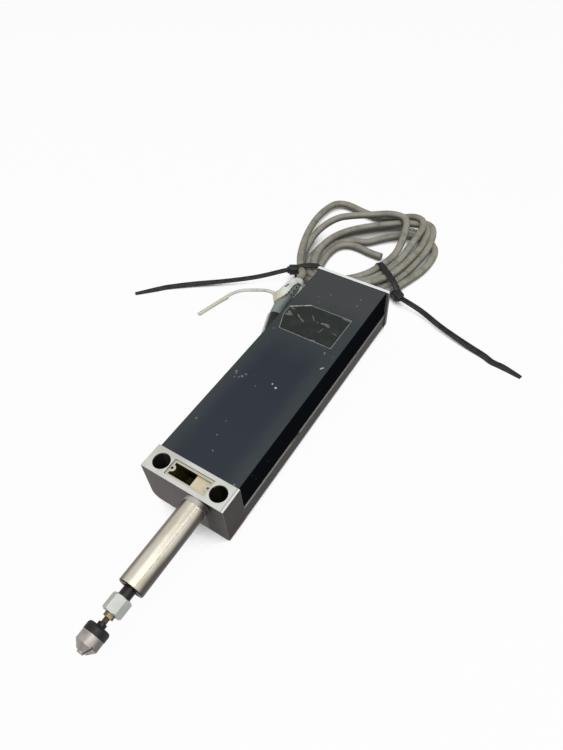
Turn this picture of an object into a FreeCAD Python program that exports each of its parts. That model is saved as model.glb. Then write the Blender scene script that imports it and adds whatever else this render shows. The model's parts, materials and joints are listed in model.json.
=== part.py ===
import FreeCAD, Part
import math
import os
import Sketcher
from FreeCAD import Rotation, Vector

# Plunger-type linear encoder: a long housing, a round clamping stem, a sliding spindle and a tied-up cord.
# Lengths are millimetres. +X runs along the measuring axis to the tip, +Z is up, the housing lies on z = 0,
# and the origin is under the middle of the housing and spindle taken together.

DIMENSIONS = {
    # Housing as a whole
    "body_length": 200.0,
    "body_width": 57.0,
    "body_height": 35.0,
    "tip_reach": 88.0,
    "block_depth": 16.0,
    "plate_thickness": 2.5,
    "plate_width": 59.0,
    "plate_round": 1.5,
    # Rounded lower edges
    "block_round_left": 6.0,
    "block_round_right": 2.0,
    "rail_round": 2.5,
    "plate_low_round": 4.0,
    # Rail and cover sections
    "rail_floor": 6.0,
    "ledge_height": 13.0,
    "lip_height": 18.5,
    "lip_thickness": 2.4,
    "cover_inset": 0.8,
    "cover_wall": 1.2,
    "cover_drop": 0.3,
    "cover_bend": 1.2,
    "tongue_length": 3.0,
    "slip": 0.1,
    "close_fit": 0.04,
    "running_gap": 0.05,
    # Mounting holes for M5 cap screws
    "hole_spacing": 40.0,
    "hole_setback": 8.0,
    "counterbore_diameter": 10.0,
    "counterbore_depth": 20.0,
    "bolt_hole_diameter": 5.5,
    "rim_chamfer": 0.3,
    # Window in the block
    "window_length": 25.0,
    "window_width": 7.8,
    "seat_length": 28.0,
    "seat_width": 10.6,
    "seat_depth": 1.0,
    "shallow_depth": 3.2,
    "deep_depth": 23.0,
    "step_place": 2.0,
    "lug_diameter": 4.4,
    "lug_hole_diameter": 1.6,
    # Stem and spindle
    "axis_side": 10.0,
    "axis_height": 26.5,
    "boss_diameter": 15.6,
    "boss_length": 2.8,
    "stem_diameter": 15.0,
    "stem_reach": 53.5,
    "spigot_diameter": 10.0,
    "spigot_depth": 3.0,
    "spindle_bore": 8.0,
    "bush_bore": 10.0,
    "bush_seat_depth": 6.5,
    "stem_chamfer": 0.6,
    "spindle_diameter": 7.0,
    "spindle_front": 58.4,
    "spindle_rear": 78.5,
    # Tip pieces, from the spindle outwards
    "standoff_flats": 10.0,
    "standoff_length": 9.0,
    "stud_diameter": 3.0,
    "lock_nut_flats": 4.9,
    "lock_nut_length": 2.1,
    "stud_gap": 2.9,
    "hub_diameter": 4.8,
    "hub_length": 1.9,
    "ring_diameter": 12.6,
    "ring_length": 4.5,
    "nose_diameter": 12.2,
    "nose_length": 5.0,
    "cone_length": 3.2,
    "pin_diameter": 4.0,
    "slit_width": 1.2,
    "slit_root": 4.2,
    # Scale and reading head
    "carrier_front": 66.5,
    "carrier_length": 12.0,
    "scale_length": 83.0,
    "scale_width": 10.0,
    "scale_thickness": 1.6,
    "scale_height": 16.7,
    "reader_front": 85.0,
    "reader_length": 16.0,
    "bracket_back": 104.0,
    "rod_diameter": 4.0,
    "rod_side": 16.0,
    "tie_rod_side": 23.4,
    "tie_rod_height": 30.5,
    "rod_seat_depth": 5.5,
    # Signal board
    "board_front": 113.0,
    "board_length": 74.0,
    "board_width": 42.0,
    "board_thickness": 1.6,
    "pillar_height": 4.5,
    "connector_back": 152.0,
    # Cord and its outlet
    "cord_diameter": 6.0,
    "outlet_back": 125.0,
    "outlet_height": 21.0,
    "nozzle_diameter": 11.2,
    "nozzle_length": 25.5,
    "outlet_hole": 9.0,
    "outlet_screw": 2.0,
    "boot_diameter": 9.6,
    "boot_end_diameter": 8.0,
    "coil_height": 12.0,
    "coil_lift": 0.2,
    "coil_bend": 18.0,
    "coil_corner": 9.0,
    "coil_chamfer": 2.5,
    "tie_width": 4.8,
    "tie_thickness": 1.3,
    "tie_head": 6.4,
    "white_tie_width": 5.5,
    "white_tail_width": 3.0,
    "white_tie_thickness": 1.1,
    # Small fasteners
    "dowel_diameter": 3.0,
    "dowel_depth": 6.0,
    "dowel_side": 12.0,
    "plate_screw_side": 18.0,
    "screw_diameter": 2.5,
    "screw_head": 4.5,
    "tapped_hole": 2.6,
    "clear_hole": 2.8,
}
OUTLET_ANGLE = 20.0  # degrees between the nozzle and the side wall
BOOT_BEND = 15.0     # degrees by which the boot turns back beside the housing
OUTLET_SCREWS = (17.0, -23.0)  # where the outlet's screws are, along the wall from its axis
HEX_TURN = 16.0      # degrees by which the standoff's flats are turned from upright
SLIT_TURN = 35.0     # degrees by which the first slit of the nose is turned from level

doc = FreeCAD.newDocument("LinearEncoder")
sheet = doc.addObject("Spreadsheet::Sheet", "Dimensions")
for row, (alias, number) in enumerate(DIMENSIONS.items(), start=1):
    sheet.set("A%d" % row, alias)
    sheet.set("B%d" % row, str(number))
    sheet.setAlias("B%d" % row, alias)
doc.recompute()
nodes = []


class Size:
    """A length that keeps its value and the sheet expression that gives it."""

    def __init__(self, value, text):
        self.value = value
        self.text = text

    def __add__(self, other):
        other = sized(other)
        return Size(self.value + other.value, "(%s + %s)" % (self.text, other.text))

    def __sub__(self, other):
        other = sized(other)
        return Size(self.value - other.value, "(%s - %s)" % (self.text, other.text))

    def __mul__(self, other):
        other = sized(other)
        return Size(self.value * other.value, "(%s * %s)" % (self.text, other.text))

    def __truediv__(self, other):
        other = sized(other)
        return Size(self.value / other.value, "(%s / %s)" % (self.text, other.text))

    def __radd__(self, other):
        return sized(other) + self

    def __rsub__(self, other):
        return sized(other) - self

    def __rmul__(self, other):
        return sized(other) * self

    def __neg__(self):
        return sized(0) - self


def sized(value):
    """Take a plain number or a Size, and give a Size."""
    if isinstance(value, Size):
        return value
    return Size(float(value), "%.6f" % value)


def size(alias):
    """The driving dimension of that name."""
    return Size(DIMENSIONS[alias], "Dimensions." + alias)


def bind(item, **sizes):
    """Tie an object's properties to sheet expressions."""
    for name, value in sizes.items():
        item.setExpression(name, sized(value).text)
    return item


def place(item, x, y, z, rotation=Rotation()):
    """Put an object at a point that follows the sheet."""
    point = [sized(value) for value in (x, y, z)]
    item.Placement = FreeCAD.Placement(Vector(*[value.value for value in point]), rotation)
    for letter, value in zip("xyz", point):
        item.setExpression("Placement.Base." + letter, value.text)
    return item


def node(label, item):
    """Name a finished sub-part."""
    item.Label = label
    nodes.append(item)
    return item


# Solid primitives and booleans, each placed in the part's frame

ALONG = {
    "x": Rotation(Vector(0, 1, 0), 90),
    "y": Rotation(Vector(1, 0, 0), -90),
    "z": Rotation(),
}


def turned_to(along):
    """The rotation for an axis letter, or a rotation as it is."""
    return ALONG[along] if isinstance(along, str) else along


def cylinder(name, diameter, length, x, y, z, along="x"):
    item = doc.addObject("Part::Cylinder", name)
    bind(item, Radius=sized(diameter) / 2, Height=length)
    return place(item, x, y, z, turned_to(along))


def cone(name, first_diameter, last_diameter, length, x, y, z, along="x"):
    item = doc.addObject("Part::Cone", name)
    bind(item, Radius1=sized(first_diameter) / 2, Radius2=sized(last_diameter) / 2, Height=length)
    return place(item, x, y, z, turned_to(along))


def box(name, length, width, height, x, y, z):
    item = doc.addObject("Part::Box", name)
    bind(item, Length=length, Width=width, Height=height)
    return place(item, x, y, z)


def hexagon(name, flats, length, x, y, z, along="x"):
    item = doc.addObject("Part::Prism", name)
    item.Polygon = 6
    bind(item, Circumradius=sized(flats) / math.sqrt(3), Height=length)
    return place(item, x, y, z, turned_to(along))


def fuse(name, *items):
    item = doc.addObject("Part::MultiFuse", name)
    item.Shapes = list(items)
    return item


def group(name, *items):
    item = doc.addObject("Part::Compound", name)
    item.Links = list(items)
    return item


def cut(name, base, *tools):
    item = doc.addObject("Part::Cut", name)
    item.Base = base
    item.Tool = tools[0] if len(tools) == 1 else fuse(name + "Tools", *tools)
    return item


def tube(name, outer, inner, length, x, y, z, along="x"):
    return cut(
        name,
        cylinder(name + "Outer", outer, length, x, y, z, along),
        cylinder(name + "Inner", inner, length, x, y, z, along),
    )


# Sketch-based features, each in the frame of its own body

def new_body(name, x=0, y=0, z=0, rotation=Rotation()):
    return place(doc.addObject("PartDesign::Body", name), x, y, z, rotation)


def sketch_on(body, role, offset=0):
    """A sketch parallel to an origin plane of its body."""
    sketch = body.newObject("Sketcher::SketchObject", body.Name + "Sketch")
    plane = next(item for item in body.Origin.OriginFeatures if item.Role == role)
    sketch.AttachmentSupport = [(plane, "")]
    sketch.MapMode = "FlatFace"
    sketch.setExpression("AttachmentOffset.Base.z", sized(offset).text)
    return sketch


def hold(sketch, kind, geometry, corner, distance):
    """Hold a point of the sketch at a distance from its origin."""
    index = sketch.addConstraint(Sketcher.Constraint(kind, -1, 1, geometry, corner, distance.value))
    sketch.setExpression("Constraints[%d]" % index, distance.text)


def polygon(sketch, corners):
    """A closed outline with straight sides."""
    corners = [(sized(across), sized(up)) for across, up in corners]
    first = sketch.GeometryCount
    count = len(corners)
    for index, (across, up) in enumerate(corners):
        next_across, next_up = corners[(index + 1) % count]
        start = Vector(across.value, up.value, 0)
        end = Vector(next_across.value, next_up.value, 0)
        sketch.addGeometry(Part.LineSegment(start, end), False)
    for index, (across, up) in enumerate(corners):
        side = first + index
        following = first + (index + 1) % count
        sketch.addConstraint(Sketcher.Constraint("Coincident", side, 2, following, 1))
        hold(sketch, "DistanceX", side, 1, across)
        hold(sketch, "DistanceY", side, 1, up)
    return sketch


def rectangle(sketch, left, right, low, high):
    return polygon(sketch, [(left, low), (right, low), (right, high), (left, high)])


def circle(sketch, across, up, diameter):
    across, up, diameter = sized(across), sized(up), sized(diameter)
    centre = Vector(across.value, up.value, 0)
    geometry = sketch.addGeometry(Part.Circle(centre, Vector(0, 0, 1), diameter.value / 2), False)
    hold(sketch, "DistanceX", geometry, 3, across)
    hold(sketch, "DistanceY", geometry, 3, up)
    index = sketch.addConstraint(Sketcher.Constraint("Diameter", geometry, diameter.value))
    sketch.setExpression("Constraints[%d]" % index, diameter.text)
    return sketch


def pad(body, sketch, length, backwards=False):
    feature = body.newObject("PartDesign::Pad", body.Name + "Pad")
    feature.Profile = sketch
    feature.Reversed = backwards
    bind(feature, Length=length)
    doc.recompute()
    return feature


def pocket(body, sketch, depth=None, backwards=False):
    """Cut along the sketch's normal, right through where no depth is given, and make sure it did cut."""
    before = body.Shape.Volume
    feature = body.newObject("PartDesign::Pocket", body.Name + "Pocket")
    feature.Profile = sketch
    feature.Reversed = backwards
    if depth is None:
        feature.Type = "ThroughAll"
    else:
        bind(feature, Length=depth)
    doc.recompute()
    if not feature.Shape.Volume < before - 0.01:
        raise RuntimeError("a cut in %s removes nothing" % body.Label)
    return feature


def turned(body, profile):
    """Turn an outline of (axial, radial) corners about the body's X axis."""
    sketch = polygon(sketch_on(body, "XY_Plane"), profile)
    feature = body.newObject("PartDesign::Revolution", body.Name + "Turned")
    feature.Profile = sketch
    feature.ReferenceAxis = (sketch, ["H_Axis"])
    feature.Angle = 360
    doc.recompute()
    return feature


def dress(body, kind, feature, chosen, **sizes):
    """Round or chamfer the edges whose middle passes the test."""
    names = ["Edge%d" % (index + 1) for index, edge in enumerate(feature.Shape.Edges) if chosen(edge)]
    if not names:
        raise RuntimeError("no edge to dress on %s" % body.Label)
    dressed = body.newObject("PartDesign::" + kind, body.Name + kind)
    dressed.Base = (feature, names)
    bind(dressed, **sizes)
    doc.recompute()
    return dressed


def near(value, other):
    return abs(value - other.value) < 0.01


# Places that several pieces share

front = (size("body_length") - size("tip_reach")) / 2
block_back = front - size("block_depth")
tongue_back = block_back - size("tongue_length")
plate_front = front - size("body_length") + size("plate_thickness")
half_width = size("body_width") / 2
cover_half = half_width - size("cover_inset")
cover_inner = cover_half - size("cover_wall")
cover_top = size("body_height") - size("cover_drop")
cover_ceiling = cover_top - size("cover_wall")
axis_y = size("axis_side")
axis_z = size("axis_height")
running_bore = size("spindle_diameter") + 2 * size("running_gap")


# Housing

def make_front_block():
    """Machined end block: mounting holes, window, stem boss, bearing bores and rod seats."""
    body = new_body("FrontBlock", front)
    height = size("body_height")
    depth = size("block_depth")
    rear = -(depth + size("tongue_length"))
    outline = rectangle(sketch_on(body, "YZ_Plane"), -half_width, half_width, 0, height)
    solid = pad(body, outline, depth, backwards=True)
    for side, radius in ((-half_width, "block_round_left"), (half_width, "block_round_right")):
        solid = dress(
            body,
            "Fillet",
            solid,
            lambda edge: near(edge.CenterOfMass.y, side) and near(edge.CenterOfMass.z, sized(0)),
            Radius=size(radius),
        )
    tongue_side = cover_inner - size("slip")
    tongue = sketch_on(body, "YZ_Plane", -depth)
    rectangle(tongue, -tongue_side, tongue_side, size("lip_height") + 0.5, cover_ceiling - size("slip"))
    pad(body, tongue, size("tongue_length"), backwards=True)
    boss = circle(sketch_on(body, "YZ_Plane"), axis_y, axis_z, size("boss_diameter"))
    pad(body, boss, size("boss_length"))
    boss_face = size("boss_length")
    pocket(body, circle(sketch_on(body, "YZ_Plane", boss_face), axis_y, axis_z, size("spindle_bore")))
    spigot_seat = circle(sketch_on(body, "YZ_Plane", boss_face), axis_y, axis_z, size("spigot_diameter"))
    pocket(body, spigot_seat, boss_face + size("spigot_depth"))
    bush_seat = circle(sketch_on(body, "YZ_Plane", rear), axis_y, axis_z, size("spigot_diameter") + 1)
    pocket(body, bush_seat, size("bush_seat_depth"), backwards=True)
    cut_window(body, rear)
    cut_mounting_holes(body)
    rods = sketch_on(body, "YZ_Plane", rear)
    circle(rods, -size("rod_side"), axis_z, size("rod_diameter") + size("slip"))
    for side in (-1, 1):
        circle(rods, side * size("tie_rod_side"), size("tie_rod_height"), size("rod_diameter") + size("slip"))
    pocket(body, rods, size("rod_seat_depth"), backwards=True)
    dowels = sketch_on(body, "YZ_Plane", -depth)
    for side in (-1, 1):
        circle(dowels, side * size("dowel_side"), size("rail_floor") / 2, size("dowel_diameter") + size("slip"))
    pocket(body, dowels, size("dowel_depth"), backwards=True)
    node("front_block", body)


def cut_window(body, rear):
    """Window with a seat for its missing lid, a deep half, a shallow half and two screw lugs."""
    top = size("body_height")
    middle = -size("hole_setback")
    seat = sketch_on(body, "XY_Plane", top)
    seat_half = size("seat_width") / 2
    rectangle(seat, middle - seat_half, middle + seat_half, -size("seat_length") / 2, size("seat_length") / 2)
    pocket(body, seat, size("seat_depth"))
    end = size("window_length") / 2
    back = middle - size("window_width") / 2
    face = middle + size("window_width") / 2
    deep = rectangle(sketch_on(body, "XY_Plane", top), back, face, -end, size("step_place"))
    pocket(body, deep, size("deep_depth"))
    shallow = rectangle(sketch_on(body, "XY_Plane", top), back, face, size("step_place"), end)
    pocket(body, shallow, size("shallow_depth"))
    opening = sketch_on(body, "YZ_Plane", rear)
    rectangle(opening, -end + 2, size("step_place") - 1, size("ledge_height") + 1, size("body_height") - 5)
    pocket(body, opening, size("tongue_length") + size("block_depth") / 2, backwards=True)
    lugs = sketch_on(body, "XY_Plane", top - size("seat_depth"))
    holes = sketch_on(body, "XY_Plane", top - size("seat_depth"))
    for side in (-1, 1):
        circle(lugs, middle, side * end, size("lug_diameter"))
        circle(holes, middle, side * end, size("lug_hole_diameter"))
    pad(body, lugs, 4, backwards=True)
    pocket(body, holes, 3.5)


def cut_mounting_holes(body):
    """Two counterbored holes straight down through the block."""
    top = size("body_height")
    heads = sketch_on(body, "XY_Plane", top)
    shanks = sketch_on(body, "XY_Plane", top)
    for side in (-1, 1):
        place_y = side * size("hole_spacing") / 2
        circle(heads, -size("hole_setback"), place_y, size("counterbore_diameter"))
        circle(shanks, -size("hole_setback"), place_y, size("bolt_hole_diameter"))
    pocket(body, heads, size("counterbore_depth"))
    holes = pocket(body, shanks)
    rim = size("counterbore_diameter") * math.pi
    dress(
        body,
        "Chamfer",
        holes,
        lambda edge: near(edge.CenterOfMass.z, top) and near(edge.Length, rim),
        Size=size("rim_chamfer"),
    )


def make_base_rail():
    """Extruded rail: floor, rounded lower edges, a ledge for the cover and lips behind its sides."""
    body = new_body("BaseRail", block_back)
    length = size("body_length") - size("block_depth") - size("plate_thickness")
    lip = cover_inner - size("slip")
    inner = lip - size("lip_thickness")
    ledge = size("ledge_height")
    lip_top = size("lip_height")
    floor = size("rail_floor")
    screw_depth = 8
    right = [(half_width, 0), (half_width, ledge), (lip, ledge), (lip, lip_top), (inner, lip_top), (inner, floor)]
    left = [(-across, up) for across, up in reversed([(sized(a), b) for a, b in right])]
    solid = pad(body, polygon(sketch_on(body, "YZ_Plane"), right + left), length, backwards=True)
    solid = dress(
        body,
        "Fillet",
        solid,
        lambda edge: near(abs(edge.CenterOfMass.y), half_width) and near(edge.CenterOfMass.z, sized(0)),
        Radius=size("rail_round"),
    )
    dowels = sketch_on(body, "YZ_Plane")
    screws = sketch_on(body, "YZ_Plane", -length)
    for side in (-1, 1):
        circle(dowels, side * size("dowel_side"), floor / 2, size("dowel_diameter") + size("slip"))
        circle(screws, side * size("plate_screw_side"), floor / 2, size("tapped_hole"))
    pocket(body, dowels, size("dowel_depth"))
    pocket(body, screws, screw_depth, backwards=True)
    node("base_rail", body)
    pin_half = size("dowel_depth") - 2 * size("slip")
    pins = [
        cylinder(
            "RailDowel", size("dowel_diameter"), 2 * pin_half, block_back - pin_half, side * size("dowel_side"),
            floor / 2,
        )
        for side in (-1, 1)
    ]
    node("rail_dowels", group("RailDowels", *pins))


def make_rear_plate():
    """End plate with rounded corners and four countersunk screws, two of them into the tie rods."""
    body = new_body("RearPlate", plate_front)
    thickness = size("plate_thickness")
    height = size("body_height")
    plate_half = size("plate_width") / 2
    outline = rectangle(sketch_on(body, "YZ_Plane"), -plate_half, plate_half, 0, height)
    solid = pad(body, outline, thickness, backwards=True)
    for level, radius in ((sized(0), size("plate_low_round")), (height, size("plate_round"))):
        solid = dress(
            body,
            "Fillet",
            solid,
            lambda edge: near(abs(edge.CenterOfMass.y), plate_half) and near(edge.CenterOfMass.z, level),
            Radius=radius,
        )
    places = [(side * size("plate_screw_side"), size("rail_floor") / 2) for side in (-1, 1)]
    places += [(side * size("tie_rod_side"), size("tie_rod_height")) for side in (-1, 1)]
    holes = sketch_on(body, "YZ_Plane")
    for across, up in places:
        circle(holes, across, up, size("clear_hole"))
    drilled = pocket(body, holes)
    rim = size("clear_hole") * math.pi
    sink = 1.2
    dress(
        body,
        "Chamfer",
        drilled,
        lambda edge: near(edge.CenterOfMass.x, -thickness) and near(edge.Length, rim),
        Size=sink,
    )
    node("rear_plate", body)
    screws = []
    back = plate_front - thickness
    head_gap = 0.05
    head_diameter = size("screw_diameter") + 2 * sink
    shank_length = 8
    for across, up in places:
        shank = cylinder("PlateScrewShank", size("screw_diameter"), shank_length, back + sink, across, up)
        head = cone("PlateScrewHead", head_diameter, size("screw_diameter"), sink, back + head_gap, across, up)
        screws.append(fuse("PlateScrew", shank, head))
    node("rear_plate_screws", group("RearPlateScrews", *screws))


def make_tie_rods():
    """Two rods that draw the rear plate against the block, tapped at the rear."""
    rods = []
    thread_depth = 8
    front_end = tongue_back + size("rod_seat_depth") - size("slip")
    length = front_end - plate_front - size("slip")
    for side in (-1, 1):
        rod_y = side * size("tie_rod_side")
        rod_z = size("tie_rod_height")
        start = plate_front + size("slip")
        rod = cylinder("TieRodBar", size("rod_diameter"), length, start, rod_y, rod_z)
        thread = cylinder("TieRodThread", size("tapped_hole"), thread_depth + 1, start - 1, rod_y, rod_z)
        rods.append(cut("TieRod", rod, thread))
    node("tie_rods", group("TieRods", *rods))


def make_cover():
    """Bent sheet channel between block and rear plate, standing on the rail's ledge."""
    body = new_body("Cover", block_back - size("slip"))
    length = size("body_length") - size("block_depth") - size("plate_thickness") - 2 * size("slip")
    ledge = size("ledge_height")
    right = [(cover_inner, ledge), (cover_half, ledge), (cover_half, cover_top)]
    left = [(-cover_half, cover_top), (-cover_half, ledge), (-cover_inner, ledge)]
    inside = [(-cover_inner, cover_ceiling), (cover_inner, cover_ceiling)]
    solid = pad(body, polygon(sketch_on(body, "YZ_Plane"), right + left + inside), length, backwards=True)
    dress(
        body,
        "Fillet",
        solid,
        lambda edge: near(abs(edge.CenterOfMass.y), cover_half) and near(edge.CenterOfMass.z, cover_top),
        Radius=size("cover_bend"),
    )
    hole = sketch_on(body, "XZ_Plane", cover_half)
    hole_x = size("block_depth") + size("slip") - size("outlet_back")
    circle(hole, hole_x, size("outlet_height"), size("outlet_hole"))
    for step in OUTLET_SCREWS:
        circle(hole, hole_x + step, size("outlet_height"), size("outlet_screw") + 0.4)
    pocket(body, hole, 2 * size("cover_wall"))
    node("cover", body)


def make_label_plate():
    """Thin bare plate on the cover, with its outer corners cut."""
    body = new_body("LabelPlate", front, 0, cover_top)
    label_front, label_back, label_side = -130, -160, 20
    reach, shoulder = -25, -12.5
    foil = 0.25
    corners = [
        (label_front, label_side), (label_front, -label_side), (label_front - 14, reach), (label_back + 8, reach),
        (label_back, shoulder), (label_back, label_side),
    ]
    pad(body, polygon(sketch_on(body, "XY_Plane"), corners), foil)
    node("label_plate", body)


# Stem, bearings and spindle

def make_stem():
    """Clamping stem: spigot in the block, round outside, stepped bore, bush and a sloping wiper ring."""
    body = new_body("Stem", front, axis_y, axis_z)
    root = size("boss_length")
    tip = size("stem_reach")
    tail = size("slip") - size("spigot_depth")
    outside = size("stem_diameter") / 2
    spigot = (size("spigot_diameter") - size("slip")) / 2
    bore = size("spindle_bore") / 2
    seat = size("bush_bore") / 2
    bush_length = 11
    seal_length = 3.3
    chamfer = size("stem_chamfer")
    step = tip - bush_length - seal_length - 2 * size("slip")
    profile = [
        (tail, bore), (tail, spigot), (root, spigot), (root, outside), (tip - chamfer, outside),
        (tip, outside - chamfer), (tip, seat), (step, seat), (step, bore),
    ]
    turned(body, profile)
    node("stem", body)
    bush_outer = size("bush_bore") - size("slip")
    bush = tube("FrontBushTube", bush_outer, running_bore, bush_length, front + step, axis_y, axis_z)
    node("front_bush", bush)
    seal = new_body("WiperSeal", front + step + bush_length, axis_y, axis_z)
    lip = running_bore / 2
    slope = 0.9
    turned(seal, [(0, lip + slope), (0, bush_outer / 2), (seal_length, bush_outer / 2), (seal_length, lip)])
    node("wiper_seal", seal)


def make_rear_bearing():
    """Flanged bush in the back of the block and the rubber washer that ends the stroke."""
    body = new_body("RearBush", tongue_back, axis_y, axis_z)
    outer = (size("spigot_diameter") + 1 - size("slip")) / 2
    bore = running_bore / 2
    flange = 1.2
    flange_radius = 6.6
    end = size("bush_seat_depth") - size("slip")
    turned(body, [
        (-flange, bore), (end, bore), (end, outer), (0, outer), (0, flange_radius), (-flange, flange_radius),
    ])
    node("rear_bush", body)
    washer_thickness = 0.6
    washer_x = tongue_back - flange - washer_thickness
    washer = tube("StopWasherRing", 13, running_bore + 0.4, washer_thickness, washer_x, axis_y, axis_z)
    node("stop_washer", washer)


def make_spindle():
    """Ground rod with a threaded nose for the standoff."""
    body = new_body("Spindle", front, axis_y, axis_z)
    outside = size("spindle_diameter") / 2
    face = size("spindle_front")
    back = -size("spindle_rear")
    thread = 2.0
    thread_end = face + 4
    chamfer = 0.5
    turned(body, [
        (back, 0), (thread_end, 0), (thread_end, thread), (face, thread), (face, outside),
        (back + chamfer, outside), (back, outside - chamfer),
    ])
    node("spindle", body)


def make_tip():
    """Standoff, lock nut, stud, hub nut, ring, slotted nose and contact pin in line on the spindle."""
    standoff_back = front + size("spindle_front")
    nut_back = standoff_back + size("standoff_length")
    hub_back = nut_back + size("lock_nut_length") + size("stud_gap")
    ring_back = hub_back + size("hub_length")
    nose_back = ring_back + size("ring_length")
    clear_hole = size("stud_diameter") + size("slip")
    across_corners = size("standoff_flats") * 2 / math.sqrt(3)
    turn = Rotation(Vector(1, 0, 0), HEX_TURN).multiply(ALONG["x"])
    blank = hexagon(
        "StandoffBar", size("standoff_flats"), size("standoff_length"), standoff_back, axis_y, axis_z, turn
    )
    envelope = new_body("StandoffTurning", standoff_back, axis_y, axis_z)
    long_end = size("standoff_length")
    flat_end = size("standoff_flats") / 2 - 0.2
    outside = across_corners / 2 + 0.1
    turned(envelope, [
        (0, 0), (0, flat_end), (0.7, outside), (long_end - 0.7, outside), (long_end, flat_end), (long_end, 0),
    ])
    chamfered = doc.addObject("Part::Common", "StandoffChamfered")
    chamfered.Base = blank
    chamfered.Tool = envelope
    rear_thread = cylinder("StandoffRearThread", 4.1, 5.5, standoff_back - 1, axis_y, axis_z)
    front_thread = cylinder("StandoffFrontThread", clear_hole, 5, nut_back - 4, axis_y, axis_z)
    node("hex_standoff", cut("HexStandoff", chamfered, rear_thread, front_thread))

    nut = hexagon(
        "LockNutBar", size("lock_nut_flats"), size("lock_nut_length"), nut_back, axis_y, axis_z, ALONG["x"]
    )
    nut_thread = cylinder("LockNutThread", clear_hole, 4, nut_back - 1, axis_y, axis_z)
    node("lock_nut", cut("LockNut", nut, nut_thread))
    stud_back = nut_back - 3.9
    node("stud", cylinder("Stud", size("stud_diameter"), nose_back - stud_back, stud_back, axis_y, axis_z))
    hub = tube("HubNutRing", size("hub_diameter"), clear_hole, size("hub_length"), hub_back, axis_y, axis_z)
    node("hub_nut", hub)

    ring = new_body("TipRing", ring_back, axis_y, axis_z)
    edge = size("ring_diameter") / 2
    hole = clear_hole / 2
    turned(ring, [
        (0, hole), (0, edge - 1.2), (0.35, edge - 0.45), (1.2, edge), (size("ring_length"), edge),
        (size("ring_length"), hole),
    ])
    node("tip_ring", ring)
    make_nose(nose_back)


def make_nose(nose_back):
    """Steel nose: cylinder, cone, bore for the pin and three slits that let it grip."""
    body = new_body("ColletNose", nose_back, axis_y, axis_z, Rotation(Vector(1, 0, 0), SLIT_TURN))
    shoulder = size("nose_length")
    end = shoulder + size("cone_length")
    outside = size("nose_diameter") / 2
    bore = (size("pin_diameter") + size("slip")) / 2
    mouth = outside - size("cone_length")
    floor = 1.0
    turned(body, [
        (0, 0), (0, outside), (shoulder, outside), (end, mouth), (end, bore), (floor, bore), (floor, 0),
    ])
    slit = sketch_on(body, "YZ_Plane", end)
    rectangle(slit, 0, outside + 1, -size("slit_width") / 2, size("slit_width") / 2)
    first = pocket(body, slit, end - size("slit_root"))
    pattern = body.newObject("PartDesign::PolarPattern", "ColletSlits")
    pattern.Originals = [first]
    axis = next(item for item in body.Origin.OriginFeatures if item.Role == "X_Axis")
    pattern.Axis = (axis, [""])
    pattern.Angle = 360
    pattern.Occurrences = 3
    body.Tip = pattern
    doc.recompute()
    node("collet_nose", body)
    pin = new_body("ContactPin", nose_back, axis_y, axis_z)
    radius = size("pin_diameter") / 2
    reach = front + size("tip_reach") - nose_back
    turned(pin, [(floor, 0), (floor, radius), (reach - 0.5, radius), (reach, radius - 0.5), (reach, 0)])
    node("contact_pin", pin)


# Scale, reading head and guide

def make_carrier():
    """Arm on the spindle's rear end that holds the scale and runs on the guide rod."""
    body = new_body("ScaleCarrier", front - size("carrier_front"))
    foot = size("scale_height") + size("scale_thickness")
    arm_half = 5
    foot_half = 6
    rod_end, spindle_end = -20, 16
    low = axis_z - arm_half
    high = axis_z + arm_half
    outline = [
        (rod_end, low), (-foot_half, low), (-foot_half, foot), (foot_half, foot), (foot_half, low),
        (spindle_end, low), (spindle_end, high), (rod_end, high),
    ]
    pad(body, polygon(sketch_on(body, "YZ_Plane"), outline), size("carrier_length"), backwards=True)
    bores = sketch_on(body, "YZ_Plane")
    circle(bores, axis_y, axis_z, size("spindle_diameter") + size("close_fit"))
    circle(bores, -size("rod_side"), axis_z, size("rod_diameter") + 2 * size("running_gap"))
    pocket(body, bores)
    thread = sketch_on(body, "XY_Plane", high)
    middle = -size("carrier_length") / 2
    circle(thread, middle, axis_y, size("tapped_hole"))
    pocket(body, thread, arm_half - 2)
    node("scale_carrier", body)
    screw_top = front - size("carrier_front") + middle
    screw_foot = axis_z + size("spindle_diameter") / 2 + 0.05
    bar_length = high - screw_foot
    screw = cylinder("CarrierScrewBar", size("screw_diameter"), bar_length, screw_top, axis_y, screw_foot, "z")
    socket = hexagon("CarrierScrewSocket", 1.3, 1, screw_top, axis_y, high - 0.8, "z")
    node("carrier_screw", cut("CarrierScrew", screw, socket))
    scale_front = front - size("carrier_front") - 1
    scale = box(
        "GlassScale", size("scale_length"), size("scale_width"), size("scale_thickness"),
        scale_front - size("scale_length"), -size("scale_width") / 2, size("scale_height"),
    )
    node("glass_scale", scale)
    clamp_length, clamp_thickness = 9, 1.1
    clamp_back = scale_front - clamp_length - 1
    clamp_low = size("scale_height") - clamp_thickness
    clamp = box("ScaleClamp", clamp_length, 2 * foot_half, clamp_thickness, clamp_back, -foot_half, clamp_low)
    node("scale_clamp", clamp)


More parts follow.
